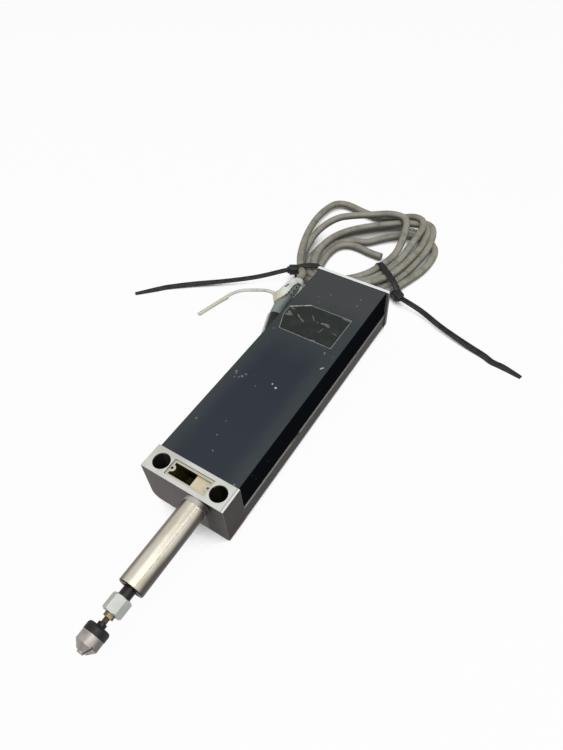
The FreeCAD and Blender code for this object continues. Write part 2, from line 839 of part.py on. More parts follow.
def make_reader():
    """C-shaped reading head with the lamp above the scale and the grating and photocell below it."""
    reader_x = front - size("reader_front")
    body = new_body("ReaderBracket", reader_x)
    floor = size("rail_floor")
    scale_gap = 2.1
    foot_height = 4
    arm_height = 6
    back, throat, mouth, foot_end = -12, -7, 8, 14
    slot_low = size("scale_height") - scale_gap
    slot_high = size("scale_height") + size("scale_thickness") + scale_gap
    arm_top = slot_high + arm_height
    foot_top = floor + foot_height
    outline = [
        (back, floor), (foot_end, floor), (foot_end, foot_top), (mouth, foot_top), (mouth, slot_low),
        (throat, slot_low), (throat, slot_high), (mouth, slot_high), (mouth, arm_top), (back, arm_top),
    ]
    pad(body, polygon(sketch_on(body, "YZ_Plane"), outline), size("reader_length"), backwards=True)
    middle = -size("reader_length") / 2
    lamp_diameter = 5
    lamp_hole = circle(sketch_on(body, "XY_Plane", arm_top), middle, 0, lamp_diameter + size("slip"))
    pocket(body, lamp_hole, arm_height)
    cell_half = 3.9
    seat_half = cell_half + 2 * size("slip")
    cell_depth = 4
    cell = sketch_on(body, "XY_Plane", slot_low)
    rectangle(cell, middle - seat_half, middle + seat_half, -seat_half, seat_half)
    pocket(body, cell, cell_depth)
    screw_steps = (-4, 4)
    screw_side = (mouth + foot_end) / 2
    screw_holes = sketch_on(body, "XY_Plane", foot_top)
    for step in screw_steps:
        circle(screw_holes, middle + step, screw_side, size("tapped_hole"))
    pocket(body, screw_holes, foot_height)
    node("reader_bracket", body)
    centre = reader_x + middle
    screws = []
    head_height = 2.5
    shank_flats = size("screw_diameter") - 0.3
    shank_low = floor + size("slip")
    for step in screw_steps:
        screw_x = centre + step
        head = hexagon("ReaderScrewHead", size("screw_head"), head_height, screw_x, screw_side, foot_top, "z")
        shank = hexagon("ReaderScrewShank", shank_flats, foot_height, screw_x, screw_side, shank_low, "z")
        screws.append(fuse("ReaderScrew", shank, head))
    node("reader_screws", group("ReaderScrews", *screws))
    grating_side, grating_thickness = 10, 1.4
    grating_corner = centre - grating_side / 2
    grating = box(
        "IndexGrating", grating_side, grating_side, grating_thickness, grating_corner, -grating_side / 2, slot_low
    )
    node("index_grating", grating)
    cell_low = slot_low - cell_depth + 0.4
    node("detector", box("Detector", 2 * cell_half, 2 * cell_half, 3, centre - cell_half, -cell_half, cell_low))
    sunk = 0.5
    lamp_body = cylinder("LampBody", lamp_diameter, arm_height - sunk, centre, 0, slot_high + sunk, "z")
    lamp_rim = cylinder("LampRim", lamp_diameter + 1, 1, centre, 0, arm_top, "z")
    node("lamp", fuse("Lamp", lamp_body, lamp_rim))


def make_guide():
    """Rod that keeps the scale upright, and the bracket behind it."""
    rod_y = -size("rod_side")
    bracket_depth = 6
    bracket_front = front - size("bracket_back")
    rod_back = bracket_front - bracket_depth
    rod_front = tongue_back + size("rod_seat_depth") - size("slip")
    rod = cylinder("GuideRod", size("rod_diameter"), rod_front - rod_back, rod_back, rod_y, axis_z)
    node("guide_rod", rod)
    body = new_body("RodBracket", bracket_front)
    floor = size("rail_floor")
    post_half = 4.5
    toe = rod_y + 8
    toe_height = 3
    top = axis_z + post_half
    outline = [
        (rod_y - post_half, floor), (toe, floor), (toe, floor + toe_height),
        (rod_y + post_half, floor + 2 * toe_height), (rod_y + post_half, top), (rod_y - post_half, top),
    ]
    pad(body, polygon(sketch_on(body, "YZ_Plane"), outline), bracket_depth, backwards=True)
    rod_hole = size("rod_diameter") + size("close_fit")
    pocket(body, circle(sketch_on(body, "YZ_Plane"), rod_y, axis_z, rod_hole))
    node("rod_bracket", body)


# Signal board and inner lead

def make_board():
    """Board on four pillars behind the reading head, with its circuits and lead connector."""
    floor = size("rail_floor")
    board_low = floor + size("pillar_height")
    board_top = board_low + size("board_thickness")
    board_back = front - size("board_front") - size("board_length")
    plate = box(
        "BoardPlate", size("board_length"), size("board_width"), size("board_thickness"),
        board_back, -size("board_width") / 2, board_low,
    )
    corners = [
        (board_back + along * size("board_length"), across * size("board_width"))
        for along in (0.06, 0.94)
        for across in (-0.42, 0.42)
    ]
    node("circuit_board", plate)
    pillars = [
        hexagon("BoardPillar", size("screw_head"), size("pillar_height"), x, y, floor, "z")
        for x, y in corners
    ]
    node("board_pillars", group("BoardPillars", *pillars))
    screws = [hexagon("BoardScrew", size("screw_head"), 1.6, x, y, board_top, "z") for x, y in corners]
    node("board_screws", group("BoardScrews", *screws))
    chips = []
    for along in (0.22, 0.45, 0.68):
        chips.append(box("BoardChip", 10, 6.5, 3.3, board_back + along * size("board_length"), 2, board_top))
        chips.append(box("BoardChip", 8, 5, 2.6, board_back + along * size("board_length"), -6, board_top))
    node("board_chips", group("BoardChips", *chips))
    connector_x = front - size("connector_back")
    block_length, block_width, block_height = 12, 6, 8
    block_side = -size("rod_side") - block_width / 2
    connector = box(
        "ConnectorBlock", block_length, block_width, block_height, connector_x - block_length / 2, block_side,
        board_top,
    )
    node("board_connector", connector)
    return connector_x, board_top


def cord_tube(name, route, diameter):
    """Round cord along a route: straight runs joined by tangent arcs, each as large as its two runs allow."""
    points = [Vector(*point) for point in route]
    pieces = []
    start = points[0]
    length = 0
    for before, corner, after in zip(points, points[1:], points[2:]):
        back = before - corner
        ahead = after - corner
        half_turn = (math.pi - back.getAngle(ahead)) / 2
        reach = 0.45 * min(back.Length, ahead.Length)
        radius = reach / math.tan(half_turn)
        into = corner + back.normalize() * reach
        out = corner + ahead.normalize() * reach
        centre = corner + (back + ahead).normalize() * (radius / math.cos(half_turn))
        outward = (into - centre).normalize()
        axis = outward.cross(out - centre).normalize()
        arc = doc.addObject("Part::Torus", name + "Arc")
        bind(arc, Radius1=radius, Radius2=sized(diameter) / 2, Angle3=math.degrees(2 * half_turn))
        place(arc, *centre, Rotation(outward, axis.cross(outward), axis, "ZXY"))
        pieces.append(run_between(name, start, into, diameter))
        pieces.append(arc)
        length += (into - start).Length + radius * 2 * half_turn
        start = out
        print("%s turns with a radius of %.1f" % (name, radius))
    pieces.append(run_between(name, start, points[-1], diameter))
    length += (points[-1] - start).Length
    whole = fuse(name, *pieces)
    doc.recompute()
    expected = math.pi * (diameter.value / 2) ** 2 * length
    if abs(whole.Shape.Volume / expected - 1) > 0.01:
        raise RuntimeError("%s has the wrong volume" % name)
    return whole


def run_between(name, start, end, diameter):
    """Straight run of a cord."""
    along = end - start
    return cylinder(name + "Run", diameter, along.Length, *start, Rotation(Vector(0, 0, 1), along))


def make_inner_lead(connector_x, board_top):
    """Lead from the back of the outlet, along the housing, down to the connector."""
    start_x = front.value - DIMENSIONS["outlet_back"] + 4
    end_x = connector_x.value + 7.4
    level = DIMENSIONS["outlet_height"]
    end_z = board_top.value + 4
    lead_diameter = 4.0
    start = Vector(start_x, -22.5, level)
    end = Vector(end_x, -16, end_z)
    node("inner_lead", run_between("InnerLead", start, end, lead_diameter))


# Outlet, boot and cord

def outlet_axis():
    """Where the nozzle's axis crosses the side wall, and its direction away from the housing."""
    angle = math.radians(OUTLET_ANGLE)
    wall = Vector(front.value - DIMENSIONS["outlet_back"], -cover_half.value, DIMENSIONS["outlet_height"])
    return wall, Vector(-math.cos(angle), -math.sin(angle), 0)


def make_outlet():
    """Angled nozzle on a rounded flange, held by two screws from inside the cover."""
    wall, heading = outlet_axis()
    along = Rotation(Vector(0, 0, 1), heading)
    lead_in = 18.0
    start = wall - heading * lead_in
    length = lead_in + size("nozzle_length")
    nozzle = cylinder("OutletNozzle", size("nozzle_diameter"), length, *start, along)
    flange_thickness = 1.6
    flange_height = 14
    flange_y = -cover_half - flange_thickness
    flange_ends = [wall.x + step - 2 * math.copysign(1, step) for step in OUTLET_SCREWS]
    flange = [
        cylinder("OutletFlangeEnd", flange_height, flange_thickness, end_x, flange_y, wall.z, "y")
        for end_x in flange_ends
    ]
    flange_length = max(flange_ends) - min(flange_ends)
    flange.append(box(
        "OutletFlangeMiddle", flange_length, flange_thickness, flange_height, min(flange_ends), flange_y,
        wall.z - flange_height / 2,
    ))
    inside = box("OutletInside", 120, 30, 40, wall.x - 60, -cover_half, wall.z - 20)
    bore = cylinder("OutletBore", size("cord_diameter"), length + 2, *start, along)
    tap_depth = flange_thickness / 2
    taps = [
        cylinder("OutletTap", size("outlet_screw") + 0.2, 1, wall.x + step, -cover_half - tap_depth, wall.z, "y")
        for step in OUTLET_SCREWS
    ]
    blank = fuse("OutletBlank", nozzle, *flange)
    node("cord_outlet", cut("CordOutlet", blank, inside, bore, *taps))
    screws = []
    head_height = 1.4
    reach = size("cover_wall") + tap_depth - size("slip")
    for step in OUTLET_SCREWS:
        shank_y = -cover_inner - reach
        shank = hexagon("OutletScrewShank", size("outlet_screw") - 0.3, reach, wall.x + step, shank_y, wall.z, "y")
        head = hexagon("OutletScrewHead", 4, head_height, wall.x + step, -cover_inner, wall.z, "y")
        screws.append(fuse("OutletScrew", shank, head))
    node("outlet_screws", group("OutletScrews", *screws))


def boot_end():
    """Start, bend and end of the boot's middle line."""
    wall, heading = outlet_axis()
    root_length = 9.0
    taper_length = 32.0
    start = wall + heading * DIMENSIONS["nozzle_length"]
    angle = math.radians(OUTLET_ANGLE - BOOT_BEND)
    bend = start + heading * root_length
    end = bend + Vector(-math.cos(angle), -math.sin(angle), 0) * taper_length
    return start, bend, end


def make_boot():
    """Rubber boot: bent root and tapered end."""
    start, bend, end = boot_end()
    root_end = bend + (end - bend) * 0.28
    root = cord_tube("BootRoot", [start, bend, root_end], size("boot_diameter"))
    taper = cone(
        "BootTaper", size("boot_diameter"), size("boot_end_diameter"), (end - root_end).Length, *root_end,
        Rotation(Vector(0, 0, 1), end - bend),
    )
    node("cord_boot", fuse("CordBoot", root, taper))


def make_cord():
    """Cord from the boot into the coil, and the outer shape of the loose coil with its two open gaps."""
    start, bend, end = boot_end()
    heading = (end - bend).normalize()
    route = [end + heading * 0.1, end + heading * 16, Vector(-165, -57.5, 10.5)]
    node("cord_lead", cord_tube("CordLead", route, size("cord_diameter")))

    body = new_body("CordCoil", 0, 0, size("coil_lift"))
    outside = [
        (-148, -42), (-155, -57), (-186, -75), (-222, -85), (-271, -93), (-272, -55), (-278, -3), (-264, 22),
        (-243, 39), (-208, 39), (-176, 27), (-156, 6), (-147.5, -18),
    ]
    tight_corner = 4
    middle_gap = [(-168, -40), (-198, -47), (-212, -42), (-212, -6), (-192, 1), (-169, -20)]
    side_gap = [(-208, -74), (-262, -84), (-263, -56), (-252, -44)]
    solid = pad(body, polygon(sketch_on(body, "XY_Plane"), outside), size("coil_height"))
    for gap in (middle_gap, side_gap):
        solid = pocket(body, polygon(sketch_on(body, "XY_Plane", size("coil_height")), gap))
    wide_bends = outside[:tight_corner] + outside[tight_corner + 1:]
    tight_bends = [outside[tight_corner]] + middle_gap + side_gap
    for bends, radius in ((wide_bends, size("coil_bend")), (tight_bends, size("coil_corner"))):
        solid = dress(body, "Fillet", solid, lambda edge: stands_at(edge, bends), Radius=radius)
    dress(
        body,
        "Chamfer",
        solid,
        lambda edge: near(edge.BoundBox.ZMin, size("coil_height")),
        Size=size("coil_chamfer"),
    )
    node("cord_coil", body)


def stands_at(edge, places):
    """Whether an edge is upright at one of the places."""
    middle = edge.CenterOfMass
    upright = edge.BoundBox.ZLength > edge.Length / 2
    return upright and any(near(middle.x, sized(x)) and near(middle.y, sized(y)) for x, y in places)


# Cable ties

def strap(name, line, width, thick):
    """Flat strap lofted through rectangles along a line, with its broad side up."""
    sections = []
    for index, point in enumerate(line):
        before = line[max(index - 1, 0)]
        after = line[min(index + 1, len(line) - 1)]
        ahead = (after - before).normalize()
        side = ahead.cross(Vector(0, 0, 1)).normalize()
        out = side.cross(ahead)
        section = doc.addObject("Part::Polygon", name + "Section")
        section.Nodes = [
            point + side * (across * width.value / 2) + out * (up * thick.value / 2)
            for across, up in ((1, 1), (1, -1), (-1, -1), (-1, 1))
        ]
        section.Close = True
        sections.append(section)
    loft = doc.addObject("Part::Loft", name)
    loft.Sections = sections
    loft.Solid = True
    loft.Ruled = True
    return loft


def make_tie(label, middle, direction, reach, height, wide, thick, head_size, head_height, tail, tail_width):
    """Band round a bundle, a head on its outer end and a long flat tail that comes down to the floor."""
    name = label.title().replace("_", "")
    end_radius = sized(height) / 2
    spread = 2 * (sized(reach) - end_radius)
    shells = []
    for kind, inset, width in (("Outer", sized(0), wide), ("Inner", thick, wide + 2)):
        radius = end_radius - inset
        pieces = [
            cylinder(name + kind + "End", 2 * radius, width, -width / 2, side * spread / 2, end_radius)
            for side in (-1, 1)
        ]
        pieces.append(box(name + kind + "Middle", width, spread, 2 * radius, -width / 2, -spread / 2, inset))
        shells.append(fuse(name + kind, *pieces))
    band = cut(name + "Band", *shells)
    across, deep, tall = [sized(value) for value in head_size]
    head_y = sized(reach) - thick / 2
    head = box(name + "Head", across, deep, tall, -across / 2, head_y, head_height - tall / 2)
    turn = Rotation(Vector(0, 0, 1), direction - 90)
    loop = place(fuse(name + "Loop", band, head), *middle, turn)
    root = Vector(*middle) + turn.multVec(Vector(0, reach + 1, head_height))
    line = [root] + [Vector(*point) for point in tail]
    tail_strap = strap(name + "Tail", line, tail_width, thick)
    node(label, fuse(name, loop, tail_strap))


def make_bundle_ties():
    """Two black ties that hold the coil together, one at each end of the turns beside the housing."""
    cube = size("tie_head")
    head_size = (cube + 1, cube, cube)
    wide = size("tie_width")
    thick = size("tie_thickness")
    left_tail = [
        (-155.5, -66, 8.5), (-139.5, -84.5, 5.5), (-124, -105, 4), (-109, -128, 2.5), (-96.5, -145.3, 1.2),
        (-89.5, -152.3, 0.9), (-76.5, -164.3, 0.9),
    ]
    make_tie(
        "cable_tie_left", (-162, -49.5, 0), 303, 11.3, 15.8, wide, thick, head_size, 10.5, left_tail, wide,
    )
    right_tail = [
        (-168, 46, 5), (-160, 66, 4), (-154, 86, 3), (-150.5, 102, 1.6), (-148, 109, 1), (-147, 118, 0.9),
        (-144, 131, 0.9),
    ]
    make_tie(
        "cable_tie_right", (-183.5, 12, 0), 50, 16.8, 15.0, wide, thick, head_size, 7.5, right_tail, wide,
    )


def make_white_tie():
    """Releasable tie that runs slantwise round the boot, with a flat head and a thin drooping tail."""
    tail = [
        (-112, -53, 22.5), (-118, -66, 18), (-116, -83, 10), (-114, -93, 4), (-105, -97, 1.2), (-83, -103, 0.8),
    ]
    make_tie(
        "cable_tie_white", (-122.2, -42.6, 14.8), 335, 15, 12.4, size("white_tie_width"),
        size("white_tie_thickness"), (6.4, 2.6, 7), 6.7, tail, size("white_tail_width"),
    )


make_front_block()
make_base_rail()
make_rear_plate()
make_tie_rods()
make_cover()
make_label_plate()
make_stem()
make_rear_bearing()
make_spindle()
make_tip()
make_carrier()
make_reader()
make_guide()
make_inner_lead(*make_board())
make_outlet()
make_boot()
make_cord()
make_bundle_ties()
make_white_tie()

doc.recompute()
for item in doc.Objects:
    if "Invalid" in item.State or "Error" in item.State:
        raise RuntimeError("%s (%s) failed: %s" % (item.Label, item.Name, item.State))
for item in nodes:
    if item.Shape.isNull() or not item.Shape.isValid():
        raise RuntimeError("%s has no valid shape" % item.Label)
os.makedirs("parts", exist_ok=True)
for item in nodes:
    item.Shape.exportStep("parts/%s.step" % item.Label)
    print("%-20s solids %d volume %.0f" % (item.Label, len(item.Shape.Solids), item.Shape.Volume))
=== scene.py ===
import json
import math
import bmesh
import bpy
from mathutils import Matrix, Vector


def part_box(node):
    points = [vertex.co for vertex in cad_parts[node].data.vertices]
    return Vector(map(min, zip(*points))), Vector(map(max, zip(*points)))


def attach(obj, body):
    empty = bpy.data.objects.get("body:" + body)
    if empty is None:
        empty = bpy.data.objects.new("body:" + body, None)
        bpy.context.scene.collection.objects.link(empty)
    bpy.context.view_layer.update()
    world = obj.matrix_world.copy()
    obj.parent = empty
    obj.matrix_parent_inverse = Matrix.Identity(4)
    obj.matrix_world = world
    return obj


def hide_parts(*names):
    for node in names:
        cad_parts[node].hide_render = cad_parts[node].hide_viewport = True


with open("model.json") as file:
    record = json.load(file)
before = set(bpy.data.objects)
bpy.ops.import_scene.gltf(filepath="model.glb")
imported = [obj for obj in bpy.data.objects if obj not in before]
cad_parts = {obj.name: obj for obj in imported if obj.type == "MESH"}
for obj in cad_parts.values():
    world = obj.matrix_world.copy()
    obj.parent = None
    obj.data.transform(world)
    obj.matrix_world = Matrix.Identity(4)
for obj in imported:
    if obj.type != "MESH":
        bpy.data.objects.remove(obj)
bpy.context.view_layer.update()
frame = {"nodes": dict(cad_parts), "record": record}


# End block. Aluminium, milled all over and left bare, bright from the cutter on top. Its sides are painted
# a dark brown-grey as shade and reflection, darker and redder low down, with a painted shadow of the stem
# on its front. Two counterbored holes go down through it, painted dark inside as shade. The deep half of
# its window is painted dark with olive and red shade, and the shallow half has a pale cream floor.
MM = 0.001
MM_PER_METRE = 1000.0


class Field:
    """A socket of a finish, with arithmetic that adds Math nodes."""

    def __init__(self, finish, socket):
        self.finish = finish
        self.socket = socket

    def joined(self, operation, first, second):
        return self.finish.node("ShaderNodeMath", {"operation": operation}, {0: first, 1: second})

    def __add__(self, other):
        return self.joined("ADD", self, other)

    def __radd__(self, other):
        return self.joined("ADD", other, self)

    def __sub__(self, other):
        return self.joined("SUBTRACT", self, other)

    def __rsub__(self, other):
        return self.joined("SUBTRACT", other, self)

    def __mul__(self, other):
        return self.joined("MULTIPLY", self, other)

    def __rmul__(self, other):
        return self.joined("MULTIPLY", other, self)

    def __truediv__(self, other):
        return self.joined("DIVIDE", self, other)

    def __pow__(self, other):
        return self.joined("POWER", self, other)

    def __mod__(self, other):
        return self.joined("FLOORED_MODULO", self, other)

    def __abs__(self):
        return self.joined("ABSOLUTE", self, 0)

    def most(self, other):
        return self.joined("MAXIMUM", self, other)


class Finish:
    """A material of this object: its node tree, with one way to add a node."""

    def __init__(self, name, **constants):
        self.material = bpy.data.materials.new(name)
        self.material.use_nodes = True
        self.tree = self.material.node_tree
        self.shader = self.tree.nodes["Principled BSDF"]
        for socket, value in constants.items():
            self.shader.inputs[socket.replace("_", " ")].default_value = value

    def node(self, kind, settings, values, output=0):
        made = self.tree.nodes.new(kind)
        for setting, value in settings.items():
            setattr(made, setting, value)
        for key, value in values.items():
            if isinstance(value, Field):
                self.tree.links.new(value.socket, made.inputs[key])
            else:
                made.inputs[key].default_value = value
        return Field(self, made.outputs[output])

    def feed(self, socket, value):
        self.tree.links.new(value.socket, self.shader.inputs[socket])

    def spot(self, kind="Object"):
        """Where on the piece, in metres, or which way the surface faces there."""
        return self.node("ShaderNodeTexCoord", {}, {}, kind)

    def parts(self, vector):
        return [self.node("ShaderNodeSeparateXYZ", {}, {"Vector": vector}, axis) for axis in "XYZ"]

    def place(self):
        """The place on the piece in millimetres, as three fields."""
        return [part * MM_PER_METRE for part in self.parts(self.spot())]

    def stretched(self, along_x, along_y, along_z):
        """The place with each axis scaled, for grain that runs one way."""
        scale = (along_x, along_y, along_z)
        return self.node("ShaderNodeVectorMath", {"operation": "MULTIPLY"}, {0: self.spot(), 1: scale})

    def noise(self, scale, detail=4.0, rough=0.55, spot=None):
        spot = spot or self.spot()
        values = {"Vector": spot, "Scale": scale, "Detail": detail, "Roughness": rough}
        return self.node("ShaderNodeTexNoise", {}, values)

    def ramp(self, value, low, high, at_low=0.0, at_high=1.0):
        """A soft step of a field from one level to another."""
        values = {"Value": value, "From Min": low, "From Max": high, "To Min": at_low, "To Max": at_high}
        return self.node("ShaderNodeMapRange", {"interpolation_type": "SMOOTHSTEP"}, values)

    def under(self, value, limit, soft):
        """Set where a field stays under a limit, with a soft border."""
        return self.ramp(value, limit - soft, limit + soft, 1.0, 0.0)

    def blend(self, mask, first, second):
        """One colour over another where the mask is set."""
        values = {0: mask, 6: first, 7: second}
        return self.node("ShaderNodeMix", {"data_type": "RGBA"}, values, 2)

    def softened(self, radius):
        """The way the surface faces once its edges are rounded a little."""
        return self.node("ShaderNodeBevel", {"samples": 6}, {"Radius": radius})

    def edges(self, radius):
        """Where the surface turns sharply, for edge wear and for painted edge highlights."""
        both = {0: self.softened(radius), 1: self.node("ShaderNodeNewGeometry", {}, {}, "Normal")}
        agree = self.node("ShaderNodeVectorMath", {"operation": "DOT_PRODUCT"}, both, "Value")
        return self.ramp(1 - agree, 0.02, 0.2)

    def relief(self, height, depth, strength=1.0, edge_radius=None):
        """Fine relief of the surface, with softened edges where a radius is given."""
        values = {"Height": height, "Distance": depth, "Strength": strength}
        if edge_radius is not None:
            values["Normal"] = self.softened(edge_radius)
        self.feed("Normal", self.node("ShaderNodeBump", {}, values))


def coat(finish, *names):
    """Give CAD nodes a finish."""
    for name in names:
        materials = frame["nodes"][name].data.materials
        materials.clear()
        materials.append(finish.material)


TOP_BRIGHT = (0.59, 0.595, 0.56, 1)
TOP_DULL = (0.50, 0.50, 0.45, 1)
SEAT_TAN = (0.52, 0.49, 0.40, 1)
FRONT_BROWN = (0.125, 0.106, 0.100, 1)
FRONT_SHADE = (0.018, 0.016, 0.016, 1)
SIDE_OLIVE = (0.034, 0.031, 0.026, 1)
SIDE_LOW_SHADE = (0.032, 0.017, 0.013, 1)
RUBBED = (0.70, 0.69, 0.66, 1)
BORE_SHADE = (0.005, 0.005, 0.005, 1)
BOSS_TOP = (0.42, 0.40, 0.375, 1)
BOSS_SHADE = (0.060, 0.055, 0.052, 1)
WELL_OLIVE = (0.060, 0.050, 0.018, 1)
WELL_RED = (0.075, 0.022, 0.014, 1)
FILM_CREAM = (0.64, 0.54, 0.37, 1)
SEAT_DROP = 1.0
HALF_DEPTH = 8.0
HALF_WINDOW = 14.7
WINDOW_FRONT = 4.0
WELL_FLOOR = 10.0
FILM_LEVEL = 31.0
FILM_START = 1.95
COUNTERBORE_RADIUS = 5.0
EDGE_LINE = 26.9
EDGE_RUBBED = 27.3
TOP_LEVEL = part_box("front_block")[1][2] / MM
SEAT_LEVEL = TOP_LEVEL - SEAT_DROP
holes = next(mount for mount in frame["record"]["mounts"] if mount["name"] == "mount_holes")
hole_x = holes["pos_m"][0] / MM
hole_side = holes["dims"]["spacing_y_mm"] / 2
BLOCK_FRONT = hole_x + HALF_DEPTH
block = Finish("milled_block", Metallic=0.3, Specular_IOR_Level=0.15)
x, y, z = block.place()
faces_x, faces_y, faces_z = block.parts(block.spot("Normal"))
top = block.ramp(faces_z, 0.85, 0.97)
cutter = block.noise(900.0, 3.0, 0.6, block.stretched(1.0, 0.06, 1.0))
mottle = block.noise(140.0, 5.0, 0.6)
stain = block.noise(45.0, 4.0, 0.5)
# Painted shade and reflection on the sides: dark brown-grey copies of the block's colour, darker and redder
# low down.
painted_side_shade = block.blend(block.ramp(z + 10 * stain, 9.0, 24.0), SIDE_LOW_SHADE, SIDE_OLIVE)
# Painted shadow of the stem on the front face, to its right.
stem_shadow = block.ramp(y, 12.0, 16.0) * block.ramp(y, 18.0, 28.0, 1.0, 0.5)
front_colour = block.blend(stem_shadow, FRONT_BROWN, FRONT_SHADE)
painted_side_shade = block.blend(block.ramp(faces_x, 0.7, 0.95), painted_side_shade, front_colour)
top_colour = block.blend(block.ramp(stain, 0.4, 0.65), TOP_BRIGHT, TOP_DULL)
top_colour = block.blend(block.under(z, SEAT_LEVEL + 0.4, 0.2), top_colour, SEAT_TAN)
top_colour = block.blend(block.under(abs(y - EDGE_LINE), 0.22, 0.1) * 0.5, top_colour, SIDE_OLIVE)
top_colour = block.blend(block.ramp(y, EDGE_RUBBED, EDGE_RUBBED + 0.3), top_colour, RUBBED)
colour = block.blend(top, painted_side_shade, top_colour)
rubbed_and_glint = block.edges(0.3 * MM) * block.ramp(mottle, 0.3, 0.5) * block.ramp(z, 0.0, 34.0, 0.12, 1.0)
colour = block.blend(rubbed_and_glint * 0.8, colour, RUBBED)
# Painted shade: the counterbores dark inside, and the deep half of the window dark with olive and red
# tints.
from_hole = ((x - hole_x) ** 2 + (abs(y) - hole_side) ** 2) ** 0.5
in_hole = block.under(from_hole, COUNTERBORE_RADIUS, 0.1) * block.under(z, SEAT_LEVEL, 0.6)
in_well = block.under(z, SEAT_LEVEL - 0.4, 0.3) * block.ramp(z, WELL_FLOOR, WELL_FLOOR + 1.0)
in_well = in_well * block.under(x - hole_x, WINDOW_FRONT, 0.05) * block.under(abs(y), HALF_WINDOW, 0.1)
well_shade = block.blend(block.ramp(stain + 0.03 * y, 0.1, 0.45, 0.0, 0.8), WELL_OLIVE, BORE_SHADE)
well_shade = block.blend(block.ramp(y, -5.0, 1.0) * block.ramp(mottle, 0.4, 0.6) * 0.8, well_shade, WELL_RED)
# The floor of the shallow half of the window is painted pale cream.
film = block.ramp(y, FILM_START, FILM_START + 0.15) * block.ramp(z, FILM_LEVEL, FILM_LEVEL + 0.6)
film = in_well * film
# Painted shade: the boss darkens towards its right side.
boss_colour = block.blend(block.ramp(faces_y, 0.35, 0.85), BOSS_TOP, BOSS_SHADE)
colour = block.blend(block.ramp(x, BLOCK_FRONT + 0.1, BLOCK_FRONT + 0.3), colour, boss_colour)
colour = block.blend(in_hole, colour, BORE_SHADE)
colour = block.blend(in_well, colour, well_shade)
colour = block.blend(film, colour, block.blend(block.ramp(mottle, 0.45, 0.6), FILM_CREAM, TOP_DULL))
block.feed("Base Color", colour)
block.feed("Roughness", 0.42 + 0.16 * mottle - 0.06 * top)
block.relief(cutter * top + 0.3 * mottle, 0.05 * MM, 0.3, 0.25 * MM)
coat(block, "front_block")


# Rail. An aluminium extrusion that the cover stands on, pinned to the block by two dowels. It is painted
# the dark brown-grey shade of the block's sides, darker low down, with a painted highlight along its upper
# edge where the ledge catches the light. The brackets and the carrier inside are milled from the same
# stock.
LEDGE_LEVEL = 13.0
RAIL_GREY = (0.024, 0.0215, 0.018, 1)
RAIL_LOW = (0.015, 0.0135, 0.012, 1)
RAIL_LEDGE_HIGHLIGHT = (0.34, 0.32, 0.30, 1)
rail = Finish("shade_painted_aluminium", Metallic=0.5, Specular_IOR_Level=0.2)
z = rail.place()[2]
drawn = rail.noise(700.0, 3.0, 0.6, rail.stretched(0.04, 1.0, 1.0))
mottle = rail.noise(120.0, 5.0, 0.6)
# Painted shade: dark all over and darker low down, with a broken painted highlight along the upper edge.
colour = rail.blend(rail.ramp(z + 3 * mottle, 2.0, 8.0), RAIL_LOW, RAIL_GREY)
rubbed_and_glint = rail.ramp(z, LEDGE_LEVEL - 0.7, LEDGE_LEVEL - 0.2) * rail.ramp(mottle, 0.25, 0.5)
rail.feed("Base Color", rail.blend(rubbed_and_glint, colour, RAIL_LEDGE_HIGHLIGHT))
rail.feed("Roughness", 0.38 + 0.2 * mottle)
rail.relief(drawn, 0.03 * MM, 0.4, 0.2 * MM)
coat(rail, "base_rail", "rod_bracket", "reader_bracket", "scale_carrier")


# Rear plate. Sheet aluminium, sheared and left bare, and screwed on behind the rail and the cover. Its
# broad face is painted dark grey as shade, and its upper edge is painted bright as highlight, its other
# edges a little.
PLATE_HIGHLIGHT = (0.80, 0.81, 0.81, 1)
PLATE_SHADE = (0.105, 0.104, 0.100, 1)
plate = Finish("sheared_plate", Metallic=0.1)
grain = plate.noise(800.0, 3.0, 0.6, plate.stretched(1.0, 0.05, 1.0))
mottle = plate.noise(150.0, 5.0, 0.6)
# Painted light: upward faces and edges bright as highlight, the rest dark grey as shade.
upward = plate.ramp(plate.parts(plate.spot("Normal"))[2], 0.4, 0.9)
colour = plate.blend(upward.most(plate.edges(0.25 * MM) * 0.3), PLATE_SHADE, PLATE_HIGHLIGHT)
plate.feed("Base Color", colour)
plate.feed("Roughness", 0.34 + 0.2 * mottle)
plate.relief(grain, 0.03 * MM, 0.35, 0.2 * MM)
coat(plate, "rear_plate")


# Cover. Steel sheet folded into a channel and clamped between the block and the rear plate. Its dark satin
# paint is greenish, with a painted bluish sheen along the middle of the top and its sides painted
# near-black as shade; it is greyer towards the rear end and chipped down to pale primer in a few places.
PAINT_BLUE_SHEEN = (0.025, 0.031, 0.042, 1)
PAINT_GREEN = (0.040, 0.049, 0.051, 1)
PAINT_WORN = (0.058, 0.059, 0.062, 1)
PAINT_SIDE_SHADE = (0.0045, 0.0055, 0.007, 1)
CHIP_PALE = (0.42, 0.43, 0.42, 1)
CHIP_GREY = (0.15, 0.16, 0.16, 1)
COVER_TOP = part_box("cover")[1][2] / MM
pale_chips = (
    (-57.7, 23.9, 0.45), (-56.9, 23.3, 0.5), (-56.2, 22.8, 0.45), (-30.4, 3.2, 0.5), (-28.8, 6.6, 0.7),
)
grey_chips = (
    (-69.4, 18.0, 0.6), (-68.6, 18.6, 0.45), (-68.8, 24.5, 0.4), (-72.2, -23.0, 0.6),
    (-72.9, -21.7, 0.4), (-119.1, 15.8, 0.6), (-126.0, 15.3, 0.5), (-120.4, -5.6, 0.6),
    (-114.5, -12.6, 0.5), (-109.7, -9.3, 0.5), (-27.9, -22.5, 0.8), (-26.4, -21.6, 0.6),
    (-23.4, -20.8, 0.5), (-24.6, -18.2, 0.5), (-26.2, -16.9, 0.8), (-28.7, -15.6, 0.6),
    (-23.8, -5.2, 0.4), (14.4, -21.7, 0.6), (17.7, -3.8, 0.5), (27.6, 0.6, 0.5),
    (7.0, -5.1, 0.4), (39.3, 23.9, 0.7),
)
